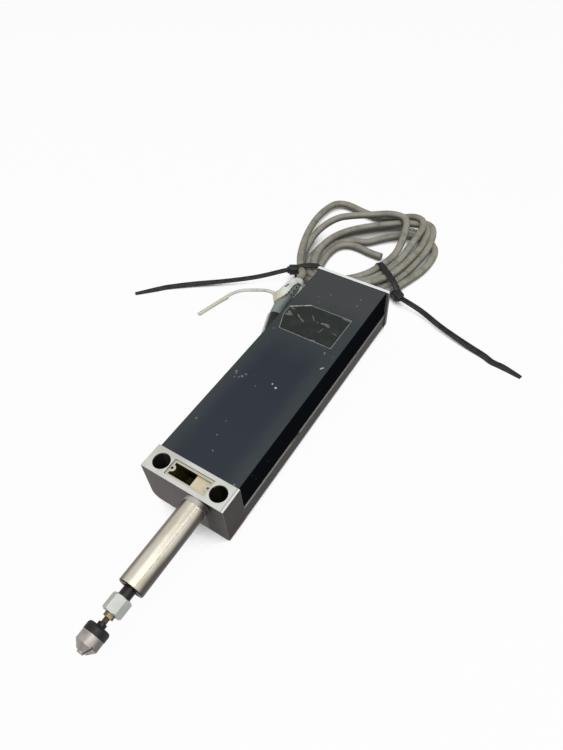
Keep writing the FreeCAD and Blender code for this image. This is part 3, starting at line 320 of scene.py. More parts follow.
paint = Finish("cover_paint", Specular_IOR_Level=0.0, Coat_Roughness=0.4)
x, y = paint.place()[:2]
upward = paint.ramp(paint.parts(paint.spot("Normal"))[2], 0.55, 0.95)
peel = paint.noise(1500.0, 2.0, 0.5)
cloud = paint.noise(38.0, 5.0, 0.6)
speck = paint.noise(420.0, 2.0, 0.5)
# Painted sheen: bluish along the middle of the top.
blue_sheen = paint.under(abs(y) + 8 * cloud, 24.0, 8.0) * paint.ramp(x + 20 * cloud, -75.0, -35.0)
colour = paint.blend(blue_sheen, PAINT_GREEN, PAINT_BLUE_SHEEN)
colour = paint.blend(paint.under(x + 20 * cloud, -98.0, 10.0) * 0.8, colour, PAINT_WORN)
# Painted shade: the sides near-black.
colour = paint.blend(upward, PAINT_SIDE_SHADE, colour)


def chipped(finish, chips, level, ragged):
    """Set in small ragged spots at the places given, each with its own radius, in millimetres."""
    mask = None
    for chip_x, chip_y, radius in chips:
        ends = {0: finish.spot(), 1: (chip_x * MM, chip_y * MM, level * MM)}
        apart = finish.node("ShaderNodeVectorMath", {"operation": "DISTANCE"}, ends, "Value")
        spot = finish.under(apart * MM_PER_METRE + 0.8 * ragged, radius + 0.4, 0.15)
        mask = mask.most(spot) if mask else spot
    return mask


pale = chipped(paint, pale_chips, COVER_TOP, speck)
grey = chipped(paint, grey_chips, COVER_TOP, speck)
scattered = paint.ramp(speck, 0.745, 0.765) * paint.ramp(cloud, 0.45, 0.6)
colour = paint.blend(grey.most(scattered * 0.6), colour, CHIP_GREY)
colour = paint.blend(pale, colour, CHIP_PALE)
colour = paint.blend(paint.edges(0.3 * MM) * paint.ramp(cloud, 0.5, 0.7) * 0.2, colour, CHIP_GREY)
paint.feed("Base Color", colour)
paint.feed("Coat Weight", 0.25 * upward)
paint.feed("Roughness", 0.5 + 0.18 * cloud)
paint.relief(peel - 2.0 * pale.most(grey), 0.02 * MM, 0.4, 0.3 * MM)
coat(paint, "cover")


# Label plate. A plain black foil with a bare edge, cut to shape and stuck flat on the cover near its
# rear end. It is scuffed through in places, and one corner has begun to lift.
LABEL_BLACK = (0.023, 0.027, 0.026, 1)
LABEL_GREY = (0.038, 0.042, 0.040, 1)
LABEL_EDGE = (0.26, 0.26, 0.24, 1)
LABEL_TAN = (0.50, 0.44, 0.36, 1)
LABEL_SCUFF = (0.16, 0.165, 0.155, 1)
LABEL_CORNERS = ((-74, 20), (-74, -20), (-88, -25), (-96, -25), (-104, -12.5), (-104, 20))
label_strokes = (
    # middle along and across, direction, half length and half width of each scrape
    (-88.6, -21.3, 107, 3.1, 1.4), (-90.5, -21.6, 61, 2.1, 1.2), (-95.0, -21.5, 91, 2.1, 0.6),
    (-90.5, -14.2, 51, 2.3, 0.6), (-88.1, -10.3, 62, 2.6, 0.6), (-93.4, -4.2, 43, 3.0, 0.4),
    (-91.1, 0.3, 120, 0.6, 0.5), (-92.0, 5.6, 102, 3.3, 0.9), (-91.1, 8.2, 78, 1.8, 0.7),
    (-85.7, 6.2, -9, 2.8, 0.3), (-102.9, 16.5, 89, 3.6, 0.6), (-74.4, 5.7, 103, 2.1, 1.0),
    (-86.7, 16.0, 81, 2.0, 0.3),
)
foil = Finish("label_foil", Specular_IOR_Level=0.1)
x, y = foil.place()[:2]
scuff = foil.noise(120.0, 5.0, 0.65)
speck = foil.noise(500.0, 2.0, 0.5)
scraped = None
for middle_x, middle_y, direction, half_long, half_wide in label_strokes:
    turn = math.radians(direction)
    along = ((x - middle_x) * math.cos(turn) + (y - middle_y) * math.sin(turn)) / half_long
    aside = ((y - middle_y) * math.cos(turn) - (x - middle_x) * math.sin(turn)) / half_wide
    stroke = foil.under(along ** 2 + aside ** 2 + 1.2 * speck, 1.5, 0.5)
    scraped = scraped.most(stroke) if scraped else stroke
rim = None
for (start_x, start_y), (end_x, end_y) in zip(LABEL_CORNERS, LABEL_CORNERS[1:] + LABEL_CORNERS[:1]):
    side = math.hypot(end_x - start_x, end_y - start_y)
    out_x, out_y = (start_y - end_y) / side, (end_x - start_x) / side
    beyond = (x - start_x) * out_x + (y - start_y) * out_y
    rim = rim.most(beyond) if rim else beyond
lifted = foil.under(y, -11.5, 1.0) * foil.under(x, -95.5, 0.8)
edge = foil.ramp(rim + 0.4 * lifted, -0.55, -0.4) * foil.ramp(speck, 0.3, 0.5, 0.4, 0.9)
colour = foil.blend(foil.ramp(scuff, 0.45, 0.75), LABEL_BLACK, LABEL_GREY)
colour = foil.blend(scraped * 0.75, colour, LABEL_SCUFF)
foil.feed("Base Color", foil.blend(edge, colour, foil.blend(lifted, LABEL_EDGE, LABEL_TAN)))
foil.feed("Roughness", 0.45 + 0.2 * scuff)
foil.relief(scuff, 0.05 * MM, 0.3)
coat(foil, "label_plate")


# Clamping stem. A steel tube ground round, left bare and pressed into the block's boss. It has fine
# turning marks, a yellowed film and a chamfered mouth. A dark reflection band along it, both its sides and
# its mouth are painted darker as shade and reflection. The rods and pins inside are of the same bare steel.
DARK_BAND_FACING = 0.585
STEEL_WARM = (0.62, 0.585, 0.50, 1)
STEEL_TAN = (0.50, 0.46, 0.36, 1)
STEEL_DARK_REFLECTION = (0.10, 0.088, 0.082, 1)
MOUTH_SHADE = (0.035, 0.033, 0.031, 1)
stem = Finish("ground_stem", Metallic=0.95)
faces_x, faces_y = stem.parts(stem.spot("Normal"))[:2]
turning = stem.noise(1300.0, 3.0, 0.6, stem.stretched(1.0, 0.05, 0.05))
handling = stem.noise(160.0, 5.0, 0.65, stem.stretched(0.25, 1.0, 1.0))
colour = stem.blend(stem.ramp(handling, 0.35, 0.7), STEEL_WARM, STEEL_TAN)
# Painted reflection: a dark band along the stem where it faces one way.
dark_band = stem.under(abs(faces_y + 0.02 * handling - DARK_BAND_FACING), 0.035, 0.025)
colour = stem.blend(dark_band * 0.5, colour, STEEL_DARK_REFLECTION)
# Painted shade and reflection: the right side, the left edge and the mouth darker.
colour = stem.blend(stem.ramp(faces_y + 0.1 * handling, 0.8, 1.0), colour, STEEL_DARK_REFLECTION)
colour = stem.blend(stem.ramp(faces_y, -0.3, -0.65) * 0.75, colour, STEEL_DARK_REFLECTION)
colour = stem.blend(stem.ramp(faces_x, 0.2, 0.5), colour, MOUTH_SHADE)
stem.feed("Base Color", colour)
stem.feed("Roughness", 0.32 + 0.06 * handling + 0.02 * turning)
stem.relief(turning, 0.004 * MM, 0.05)
coat(stem, "stem", "tie_rods", "rail_dowels", "guide_rod", "scale_clamp", "board_screws")


# Spindle. A hardened steel rod that slides in the stem, ground and blackened, with a slight polish from
# its bushes. The small screws and the nut on the stud are blackened steel too.
SPINDLE_DARK = (0.020, 0.019, 0.018, 1)
SPINDLE_POLISH = (0.040, 0.037, 0.034, 1)
spindle = Finish("blackened_spindle", Metallic=0.8)
turning = spindle.noise(1200.0, 3.0, 0.6, spindle.stretched(1.0, 0.05, 0.05))
handling = spindle.noise(200.0, 4.0, 0.6, spindle.stretched(0.2, 1.0, 1.0))
spindle.feed("Base Color", spindle.blend(spindle.ramp(handling, 0.4, 0.7), SPINDLE_DARK, SPINDLE_POLISH))
spindle.feed("Roughness", 0.26 + 0.2 * turning)
spindle.relief(turning, 0.02 * MM, 0.3, 0.15 * MM)
coat(spindle, "spindle", "hub_nut", "rear_plate_screws", "reader_screws", "carrier_screw", "outlet_screws")


# Standoff. A hexagonal spacer turned from bar, with a pale plating that is rubbed on its edges, screwed
# on the end of the spindle.
HEX_PALE = (0.45, 0.475, 0.44, 1)
HEX_SHADE = (0.38, 0.395, 0.37, 1)
standoff = Finish("plated_standoff", Metallic=0.25)
mottle = standoff.noise(90.0, 3.0, 0.5)
colour = standoff.blend(standoff.ramp(mottle, 0.4, 0.7), HEX_PALE, HEX_SHADE)
standoff.feed("Base Color", standoff.blend(standoff.edges(0.25 * MM), colour, RUBBED))
standoff.feed("Roughness", 0.36 + 0.12 * mottle)
standoff.relief(mottle, 0.02 * MM, 0.2, 0.25 * MM)
coat(standoff, "hex_standoff")


# Brass nut. A small turned nut, tarnished brown, that locks the stud in the standoff. The spindle's
# bushes and the board's pillars are of the same brass.
BRASS_WORN = (0.22, 0.165, 0.098, 1)
BRASS_DULL = (0.12, 0.085, 0.05, 1)
brass = Finish("turned_brass", Metallic=0.9)
tarnish = brass.noise(300.0, 5.0, 0.6)
brass.feed("Base Color", brass.blend(brass.ramp(tarnish, 0.4, 0.65), BRASS_WORN, BRASS_DULL))
brass.feed("Roughness", 0.3 + 0.25 * tarnish)
brass.relief(tarnish, 0.02 * MM, 0.3, 0.1 * MM)
coat(brass, "lock_nut", "front_bush", "rear_bush", "board_pillars")


# Stud. A length of threaded brass rod, dark in its grooves, screwed into the standoff and the nose.
# Dirt and oil have left only the crests of the thread bright.
STUD_DARK = (0.065, 0.050, 0.034, 1)
THREAD_PITCH = 0.5
thread = Finish("threaded_stud", Metallic=0.9)
x = thread.place()[0]
tarnish = thread.noise(420.0, 4.0, 0.6)
groove = abs(x / THREAD_PITCH % 1.0 - 0.5)
crest = thread.ramp(groove + 0.4 * tarnish, 0.35, 0.65)
thread.feed("Base Color", thread.blend(crest, STUD_DARK, BRASS_WORN))
thread.feed("Roughness", 0.32 + 0.2 * tarnish)
thread.relief(groove, 0.3 * MM, 0.8)
coat(thread, "stud")


# Ring. A black moulded ring behind the nose, scuffed grey on its edges, that is gripped on the stud.
# The seal, the stop washer and the packages on the board are black mouldings too.
RING_BLACK = (0.008, 0.008, 0.008, 1)
RING_WORN = (0.032, 0.031, 0.029, 1)
ring = Finish("black_ring", Specular_IOR_Level=0.3)
scuff = ring.noise(420.0, 5.0, 0.6)
wear_and_glint = ring.ramp(scuff, 0.5, 0.75).most(ring.edges(0.2 * MM) * 0.6)
ring.feed("Base Color", ring.blend(wear_and_glint, RING_BLACK, RING_WORN))
ring.feed("Roughness", 0.38 + 0.25 * scuff)
ring.relief(scuff, 0.02 * MM, 0.3, 0.2 * MM)
coat(ring, "tip_ring", "wiper_seal", "stop_washer", "detector", "board_chips")


# Nose. Turned steel, slit crosswise so that it grips the contact pin, and screwed on the stud. It is dull
# and faintly stained, with bright edges, a painted dark reflection band along it and its right side
# painted darker as shade.
NOSE_GREY = (0.42, 0.388, 0.362, 1)
NOSE_STAIN_AND_SHADE = (0.30, 0.268, 0.248, 1)
nose = Finish("turned_nose", Metallic=0.55, Specular_IOR_Level=0.3)
turning = nose.noise(1500.0, 3.0, 0.6, nose.stretched(1.0, 0.05, 0.05))
blotch = nose.noise(170.0, 3.0, 0.5)
faces_y = nose.parts(nose.spot("Normal"))[1]
# Painted reflection and shade: a dark band along the nose, and its right side darker.
nose_dark_band = nose.under(abs(faces_y - 0.1), 0.2, 0.15) * 0.6
colour = nose.blend(nose.ramp(blotch, 0.4, 0.75).most(nose_dark_band), NOSE_GREY, NOSE_STAIN_AND_SHADE)
colour = nose.blend(nose.ramp(faces_y, 0.65, 0.95) * 0.75, colour, STEEL_DARK_REFLECTION)
nose.feed("Base Color", nose.blend(nose.edges(0.2 * MM) * 0.5, colour, RUBBED))
nose.feed("Roughness", 0.44 + 0.14 * blotch)
nose.relief(turning, 0.006 * MM, 0.1)
coat(nose, "collet_nose", "contact_pin")


# Inside. A glass scale clamped on the carrier, the index grating of the reading head, a green signal
# board on its pillars, and white mouldings for the lamp and the connector. The cover closes them in.
GLASS_TINT = (0.75, 0.86, 0.83, 1)
BOARD_GREEN = (0.02, 0.11, 0.05, 1)
BOARD_TRACE = (0.05, 0.20, 0.09, 1)
WHITE_PART = (0.70, 0.70, 0.66, 1)
WHITE_AGED = (0.58, 0.56, 0.48, 1)
glass = Finish("scale_glass", Roughness=0.05, Transmission_Weight=0.8, IOR=1.5)
dust = glass.noise(300.0, 4.0, 0.6)
glass.feed("Base Color", glass.blend(dust * 0.3, GLASS_TINT, WHITE_PART))
coat(glass, "glass_scale", "index_grating")
board = Finish("signal_board", Roughness=0.4)
trace = board.noise(400.0, 2.0, 0.5, board.stretched(0.3, 1.0, 1.0))
board.feed("Base Color", board.blend(board.ramp(trace, 0.5, 0.55), BOARD_GREEN, BOARD_TRACE))
coat(board, "circuit_board")
moulding = Finish("white_moulding", Roughness=0.45)
ageing = moulding.noise(160.0, 4.0, 0.6)
moulding.feed("Base Color", moulding.blend(ageing, WHITE_PART, WHITE_AGED))
coat(moulding, "lamp", "board_connector")


# Outlet. A metal nozzle with an oblong flange, screwed to the side of the cover from inside. It is painted
# dark as the reflection of dark surroundings, with a painted bright reflection along its upper outer
# shoulder, and it is a little lighter on its edges.
NOZZLE_DARK_REFLECTION = (0.050, 0.045, 0.040, 1)
NOZZLE_GLINT_AND_WEAR = (0.60, 0.58, 0.54, 1)
nozzle = Finish("reflection_painted_nozzle", Metallic=0.8)
handling = nozzle.noise(90.0, 4.0, 0.5)
faces_y, faces_z = nozzle.parts(nozzle.spot("Normal"))[1:]
# Painted reflection: bright along the upper outer shoulder, dark elsewhere; edges a little lighter.
wear_and_glint = nozzle.under(faces_y + 0.3 * handling, -0.35, 0.12) * nozzle.ramp(faces_z, 0.0, 0.2)
wear_and_glint = wear_and_glint.most(nozzle.edges(0.3 * MM) * 0.3)
nozzle.feed("Base Color", nozzle.blend(wear_and_glint, NOZZLE_DARK_REFLECTION, NOZZLE_GLINT_AND_WEAR))
nozzle.feed("Roughness", 0.3 + 0.2 * handling)
nozzle.relief(handling, 0.03 * MM, 0.3, 0.2 * MM)
coat(nozzle, "cord_outlet")


# Boot. A strain relief moulded in grey-green rubber and pushed on the nozzle, bloomed all over, with
# rows of short slots cut round its thin end so that it bends. Its underside is painted darker as shade, and
# its slots and its open end are painted black as shade.
UPWARD = Vector((0, 0, 1))
LINE_STEPS = 6


def smooth_line(points, closed=False):
    """A smooth line through the points given."""
    if closed:
        points = [points[-1], *points, *points[:2]]
    else:
        points = [points[0], *points, points[-1]]
    line = []
    for before, start, end, after in zip(points, points[1:], points[2:], points[3:]):
        for step in range(LINE_STEPS):
            share = step / LINE_STEPS
            bend = (2 * before - 5 * start + 4 * end - after) * share ** 2
            twist = (3 * start - before - 3 * end + after) * share ** 3
            line.append((2 * start + (end - before) * share + bend + twist) / 2)
    return line if closed else line + [points[-1]]


def add_piece(name, shape, finish, node_name):
    """Turn a bmesh in millimetres into a piece that rides on the housing."""
    bmesh.ops.recalc_face_normals(shape, faces=shape.faces)
    bmesh.ops.scale(shape, vec=(MM, MM, MM), verts=shape.verts)
    mesh = bpy.data.meshes.new(name)
    shape.to_mesh(mesh)
    shape.free()
    mesh.materials.append(finish.material)
    piece = bpy.data.objects.new(name, mesh)
    bpy.context.scene.collection.objects.link(piece)
    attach(piece, "housing")
    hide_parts(node_name)
    return piece


def skin(shape, rings, runs=None, capped=True):
    """Faces from ring to ring of corners, and end caps. A run is a ring's distance along the piece."""
    uv = shape.loops.layers.uv.verify()
    runs = runs or [0.0] * len(rings)
    count = len(rings[0])
    for ring_a, ring_b, run_a, run_b in zip(rings, rings[1:], runs, runs[1:]):
        for corner in range(count):
            after = (corner + 1) % count
            face = shape.faces.new((ring_a[corner], ring_a[after], ring_b[after], ring_b[corner]))
            for loop, run in zip(face.loops, (run_a, run_a, run_b, run_b)):
                loop[uv].uv = (run, 0.0)
            face.smooth = True
    if capped:
        shape.faces.new(rings[0])
        shape.faces.new(rings[-1])


RUBBER_GREEN = (0.225, 0.255, 0.243, 1)
RUBBER_DARK = (0.165, 0.19, 0.18, 1)
SLOT_SHADE = (0.006, 0.008, 0.007, 1)
SLOT_PITCH = 4.6
SLOT_WIDTH = 1.7
SLOT_DEPTH = 1.4
SLOT_COUNT = 4
SLOT_ROWS = (-62, 14, 62)
SLOT_HALF_ANGLE = 13
BOOT_RADIUS = 4.4
BOOT_END_RADIUS = 3.9
BOOT_STRAIGHT = 32.0
BOOT_ROOT = 9
BEND_END = 10
RING_SPACING = 0.4
CORNER_ANGLE = 6
boot_tip = Vector((-133.30, -42.29, 21.0))
boot_run = Vector((-math.cos(math.radians(5)), -math.sin(math.radians(5)), 0))
nozzle_run = Vector((-math.cos(math.radians(20)), -math.sin(math.radians(20)), 0))
rubber = Finish("boot_rubber", Roughness=0.6, Specular_IOR_Level=0.2)
x, y = rubber.place()[:2]
faces_z = rubber.parts(rubber.spot("Normal"))[2]
bloom = rubber.noise(150.0, 5.0, 0.6)
from_tip = (x - boot_tip.x) * -boot_run.x + (y - boot_tip.y) * -boot_run.y
end = rubber.under(from_tip, 1.2, 0.3)
sunk = rubber.node("ShaderNodeAttribute", {"attribute_name": "sunk"}, {}, "Fac")
# Painted shade: bloom, and faces turned downward, darker.
bloom_and_underside_shade = rubber.ramp(bloom, 0.4, 0.75).most(rubber.ramp(faces_z, 0.4, -0.2))
colour = rubber.blend(bloom_and_underside_shade, RUBBER_GREEN, RUBBER_DARK)
# Painted shade: the slots and the open end black.
rubber.feed("Base Color", rubber.blend(rubber.ramp(sunk, 0.2, 0.6).most(end * 0.7), colour, SLOT_SHADE))
rubber.relief(bloom, 0.1 * MM, 0.4)
boot_bend = boot_tip - boot_run * BOOT_STRAIGHT
boot_root = boot_bend - nozzle_run * BOOT_ROOT
boot_line = smooth_line([
    boot_root,
    boot_root + nozzle_run * (BOOT_ROOT / 2),
    boot_bend + boot_run * (0.4 * BEND_END),
    boot_bend + boot_run * BEND_END,
])[:-1]
straight_rings = round((BOOT_STRAIGHT - BEND_END) / RING_SPACING) + 1
boot_line += [boot_bend + boot_run * (BEND_END + RING_SPACING * step) for step in range(straight_rings)]
boot = bmesh.new()
sunk_layer = boot.verts.layers.float.new("sunk")
rings = []
for index, point in enumerate(boot_line):
    ahead = boot_line[min(index + 1, len(boot_line) - 1)] - boot_line[max(index - 1, 0)]
    side = ahead.cross(UPWARD).normalized()
    to_tip = (boot_tip - point).length
    radius = BOOT_END_RADIUS + (BOOT_RADIUS - BOOT_END_RADIUS) * min(1.0, to_tip / BOOT_STRAIGHT)
    slotted = to_tip < SLOT_COUNT * SLOT_PITCH
    in_slot = slotted and abs(to_tip % SLOT_PITCH - SLOT_PITCH / 2) < SLOT_WIDTH / 2
    ring_of = []
    for angle in range(-180, 180, CORNER_ANGLE):
        cut = in_slot and min(abs(angle - row) for row in SLOT_ROWS) < SLOT_HALF_ANGLE
        reach = radius - SLOT_DEPTH * cut
        turn = math.radians(angle)
        outward = side * (reach * math.sin(turn)) + UPWARD * (reach * math.cos(turn))
        corner = boot.verts.new(point + outward)
        corner[sunk_layer] = float(cut)
        ring_of.append(corner)
    rings.append(ring_of)
skin(boot, rings)
slotted_boot = add_piece("slotted_boot", boot, rubber, "cord_boot")


# Cord. A screened round cord in a warm grey sheath, held in the boot. It runs beside the housing into a
# loose coil of five turns held by two ties, and its plain cut end lies inside the coil.
CORD_DIAMETER = 6.0
CORD_GAP = 0.1
CORD_STRAIGHT = 9
ON_FLOOR = 3.3
COIL_MIDDLE = Vector((-210.0, -20.0, 0.0))
CORD_GREY = (0.300, 0.288, 0.238, 1)
CORD_SHADE = (0.200, 0.190, 0.158, 1)
CORD_SIDE_SHADE = (0.130, 0.122, 0.100, 1)
sheath = Finish("cord_sheath", Roughness=0.55, Specular_IOR_Level=0.25)
grime = sheath.noise(90.0, 5.0, 0.6)
fleck = sheath.noise(900.0, 3.0, 0.6)
faces_z = sheath.parts(sheath.spot("Normal"))[2]
colour = sheath.blend(sheath.ramp(grime + 0.2 * fleck, 0.5, 0.8), CORD_GREY, CORD_SHADE)
# Painted shade: the sides and underside of the cord darker.
sheath.feed("Base Color", sheath.blend(sheath.ramp(faces_z, 0.7, 0.0), colour, CORD_SIDE_SHADE))
sheath.relief(fleck, 0.03 * MM, 0.3)
coat(sheath, "inner_lead")
cord_points = [
    boot_tip + boot_run * CORD_GAP,
    boot_tip + boot_run * CORD_STRAIGHT,
    Vector((-148.5, -46.1, 18.3)),
]
coil_directions = (329, 312, 292, 267, 243, 224, 203, 182, 165, 150, 128, 100, 72, 51, 25, 2, 345)
coil_turns = (
    # the radius and the height of each turn in those directions
    # the first turn swings wide on the left and comes back on top
    ((62.5, 58, 55, 59.5, 73, 86, 58, 57, 63, 60, 38, 29.5, 28.6, 30.2, 39, 50, 57),
     (11.5, 10, 9.8, 7, 5, 4.5, 3.5, 5, 12, 14, 12, 8.5, 7.5, 7.0, 8, 12, 9)),
    # the second lies over the others and ends innermost on the right
    ((61, 57, 53.5, 51.5, 47.5, 43, 42.5, 50, 51, 38, 28.5, 24, 22.5, 24.5, 33, 44, 49),
     (3.3, 3.4, 4.2, 9, 14.5, 15.3, 15.3, 15.3, 15.3, 15, 13.5, 11, 10, 10, 10, 9.5, 9)),
    # the third and fourth run side by side through the middle
    ((52, 45.5, 39.5, 34.5, 32, 31.5, 34, 41, 55, 65, 47, 35.5, 35, 38.4, 44, 49, 53),
     (8.5, 9, 9.2, 9.2, 9.2, 9.2, 9.2, 9.2, 8.8, 8.6, 7.5, 7.5, 9, 9.5, 9.5, 9, 8)),
    ((58, 50.5, 44, 39, 36.5, 36, 38.5, 46, 60, 70, 54, 40.5, 38.5, 41.5, 48, 54, 57),
     (8.5, 6, 4, 3.5, 3.5, 3.5, 3.5, 4, 7, 8.6, 6, 3.3, 3.3, 3.3, 3.3, 3.3, 8.5)),
    # the fifth lies on the floor, inside on the left and outside on the right
    ((55, 45, 37.5, 32.5, 25.5, 20, 19, 26, 40, 54, 61.5, 50.5, 45, 47.5, 54, 60, 52),
     (ON_FLOOR,) * len(coil_directions)),
)
coil_end = ((329, 49), (312, 39.5), (292, 33), (270, 28.5), (252, 22), (232, 11), (175, 4.5), (113, 12))


def on_coil(direction, radius, height):
    """A point of the coil by its direction from the middle."""
    turn = math.radians(direction)
    return COIL_MIDDLE + Vector((radius * math.cos(turn), radius * math.sin(turn), height))


for radii, heights in coil_turns:
    cord_points += [on_coil(*place) for place in zip(coil_directions, radii, heights)]
cord_points += [on_coil(direction, radius, ON_FLOOR) for direction, radius in coil_end]
curve = bpy.data.curves.new("cord", "CURVE")
curve.dimensions = "3D"
curve.bevel_depth = CORD_DIAMETER / 2 * MM
curve.bevel_resolution = 5
curve.use_fill_caps = True
spline = curve.splines.new("NURBS")
spline.points.add(len(cord_points) - 1)
for control, point in zip(spline.points, cord_points):
    control.co = (*(point * MM), 1.0)
spline.order_u = 3
spline.use_endpoint_u = True
spline.resolution_u = 6
curve.materials.append(sheath.material)
cord = bpy.data.objects.new("cord", curve)
bpy.context.scene.collection.objects.link(cord)
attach(cord, "housing")
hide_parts("cord_lead", "cord_coil")


# Cable ties. Two ties of black nylon hold the coil, each a ribbed strap pulled tight through its own
# stepped head, with the long tail left on. The tails droop to the floor and end in a narrow tip.
TIE_WIDTH = 4.8
TIE_THICK = 1.3
TIE_EDGE = 0.3
HEAD_WIDTH = 7.4
HEAD_TALL = 6.4
TAIL_START = 3
TIP_SHARE = 0.45
TAPER = 0.08
LOOP_STEPS = 48
BLOCK_STEPS = 24


def sweep_strap(shape, line, flats, widths, thick, closed=False):
    """A flat strap with broken edges along a line, its broad side facing each of the flats."""
    rings, runs = [], []
    run = 0.0
    for index, (point, flat, width) in enumerate(zip(line, flats, widths)):
        if closed:
            ahead = line[(index + 1) % len(line)] - line[index - 1]
        else:
            ahead = line[min(index + 1, len(line) - 1)] - line[max(index - 1, 0)]
        run += (point - line[max(index - 1, 0)]).length
        side = ahead.cross(flat).normalized()
        out = side.cross(ahead).normalized()
        half, rise = width / 2, thick / 2
        flat_half, side_rise = half - TIE_EDGE, rise - TIE_EDGE
        right = ((flat_half, rise), (half, side_rise), (half, -side_rise), (flat_half, -rise))
        left = [(-across, up) for across, up in reversed(right)]
        rings.append([shape.verts.new(point + side * across + out * up) for across, up in (*right, *left)])
        runs.append(run)
    if closed:
        rings.append(rings[0])
        runs.append(run + (line[0] - line[-1]).length)
    skin(shape, rings, runs, capped=not closed)


def tie_loop(centre, direction, reach, low, high):
    """The oval run of a tie round a bundle, with the outward direction at each step."""
    turn = math.radians(direction)
    across = Vector((math.cos(turn), math.sin(turn), 0))
    middle, rise = (low + high) / 2, (high - low) / 2
    line, flats = [], []
    for step in range(LOOP_STEPS):
        angle = 2 * math.pi * step / LOOP_STEPS
        side, up = math.cos(angle), math.sin(angle)
        squarer = (abs(side) ** 3 + abs(up) ** 3) ** (-1 / 3)
        line.append(centre + across * (reach * side * squarer) + UPWARD * (middle + rise * up * squarer))
        flats.append((across * side / reach + UPWARD * up / rise).normalized())
    return across, line, flats


def layered_block(shape, place, along, across, up, width, height, layers):
    """A moulded block of rounded rectangles, one for each layer of a distance outward and an inset."""
    rings = []
    for lift, inset in layers:
        ring_of = []
        for step in range(BLOCK_STEPS):
            angle = 2 * math.pi * (step + 0.5) / BLOCK_STEPS
            side, rise = math.cos(angle), math.sin(angle)
            squarer = (abs(side) ** 8 + abs(rise) ** 8) ** (-1 / 8)
            wide = (width / 2 - inset) * side * squarer
            tall = (height / 2 - inset) * rise * squarer
            ring_of.append(shape.verts.new(place + along * wide + up * tall + across * lift))
        rings.append(ring_of)
    skin(shape, rings)


TIE_BLACK = (0.007, 0.007, 0.008, 1)
TIE_SCUFF_AND_SHEEN = (0.026, 0.027, 0.028, 1)
RIB_PITCH = 1.5 * MM
nylon = Finish("black_nylon", Specular_IOR_Level=0.3)
scuff = nylon.noise(160.0, 5.0, 0.6)
run = nylon.parts(nylon.spot("UV"))[0] * MM
rib = nylon.ramp(abs(run / RIB_PITCH % 1.0 - 0.5), 0.2, 0.35)
upward = nylon.ramp(nylon.parts(nylon.spot("Normal"))[2], 0.3, 0.9)
# Grey in patches on upward faces: scuffs together with painted sheen.
nylon.feed("Base Color", nylon.blend(upward * nylon.ramp(scuff, 0.3, 0.65), TIE_BLACK, TIE_SCUFF_AND_SHEEN))
nylon.feed("Roughness", 0.34 + 0.3 * scuff)
nylon.relief(scuff + 0.5 * rib, 0.06 * MM, 0.5)
HEAD_LAYERS = ((-3.2, 0.7), (-2.7, 0.2), (4.2, 0.0), (4.5, 0.4), (4.6, 1.0), (5.9, 1.1), (6.4, 1.6))
black_ties = (
    # name, node, middle, direction of the head, half width and top of the loop, height of the head, tail
    ("tie_left", "cable_tie_left", (-162, -49.5, 0), 303, 10.65, 15.15, 11.4,
     ((-155.5, -66, 8.5), (-139.5, -84.5, 5.5), (-124, -105, 4), (-109, -128, 2.5),
      (-96.5, -145.3, 1.2), (-89.5, -152.3, 0.9), (-76.5, -164.3, 0.9))),
    ("tie_right", "cable_tie_right", (-185.1, 10.1, 0), 50, 18.5, 14.35, 7.5,
     ((-168, 46, 5), (-160, 66, 4), (-154, 86, 3), (-150.5, 102, 1.6),
      (-148, 109, 1), (-147, 118, 0.9), (-144, 131, 0.9))),
)
for name, node_name, middle, direction, reach, high, head_height, tail in black_ties:
    band = bmesh.new()
    middle = Vector(middle)
    across, line, flats = tie_loop(middle, direction, reach, TIE_THICK / 2, high)
    sweep_strap(band, line, flats, [TIE_WIDTH] * len(line), TIE_THICK, closed=True)
    head_place = middle + across * reach + UPWARD * head_height
    along = UPWARD.cross(across)
    layered_block(band, head_place, along, across, UPWARD, HEAD_WIDTH, HEAD_TALL, HEAD_LAYERS)
    add_piece(name + "_band", band, nylon, node_name)
    strap = bmesh.new()
    tail_root = middle + across * (reach + TAIL_START) + UPWARD * head_height
    line = smooth_line([tail_root] + [Vector(point) for point in tail])
    count = len(line)
    widths = [TIE_WIDTH * min(1.0, TIP_SHARE + TAPER * (count - index)) for index in range(count)]
    sweep_strap(strap, line, [UPWARD] * count, widths, TIE_THICK)
    add_piece(name + "_tail", strap, nylon, node_name)


# White tie. A releasable tie of natural nylon, gone yellow at the head, slung slantwise round the boot.
# The strap widens into a flat rounded head on the outer side and has a short release slot, and its thin
# tail droops to the floor.
WHITE_THICK = 1.5
WHITE_WIDTH = 6.8
WHITE_FLARE = 2.0
WHITE_TAIL_WIDTH = 3.0
WHITE_HEAD_WIDTH = 9.2
WHITE_HEAD_TALL = 6.4
RELEASE_HALF_LENGTH = 2.1
RELEASE_HALF_WIDTH = 0.75
RELEASE_SLANT = 0.19
NYLON_WHITE = (0.70, 0.715, 0.655, 1)
NYLON_SHADE = (0.57, 0.57, 0.50, 1)
NYLON_YELLOW = (0.58, 0.545, 0.40, 1)
RELEASE_MIDDLE = Vector((-120.7, -43.0, 27.0))
natural = Finish("natural_nylon", Roughness=0.45, Specular_IOR_Level=0.3)
x, y, z = natural.place()
ageing = natural.noise(140.0, 4.0, 0.6)
along = x - RELEASE_MIDDLE.x
aside = (y - RELEASE_MIDDLE.y) + RELEASE_SLANT * along
slot = natural.under(abs(along), RELEASE_HALF_LENGTH, 0.2)
slot = slot * natural.under(abs(aside), RELEASE_HALF_WIDTH, 0.15)
slot = slot * natural.ramp(z, RELEASE_MIDDLE.z - 2.0, RELEASE_MIDDLE.z - 1.5)
colour = natural.blend(natural.ramp(ageing, 0.4, 0.7), NYLON_WHITE, NYLON_SHADE)
colour = natural.blend(natural.ramp(x + 6 * ageing, -112.0, -106.0) * 0.8, colour, NYLON_YELLOW)
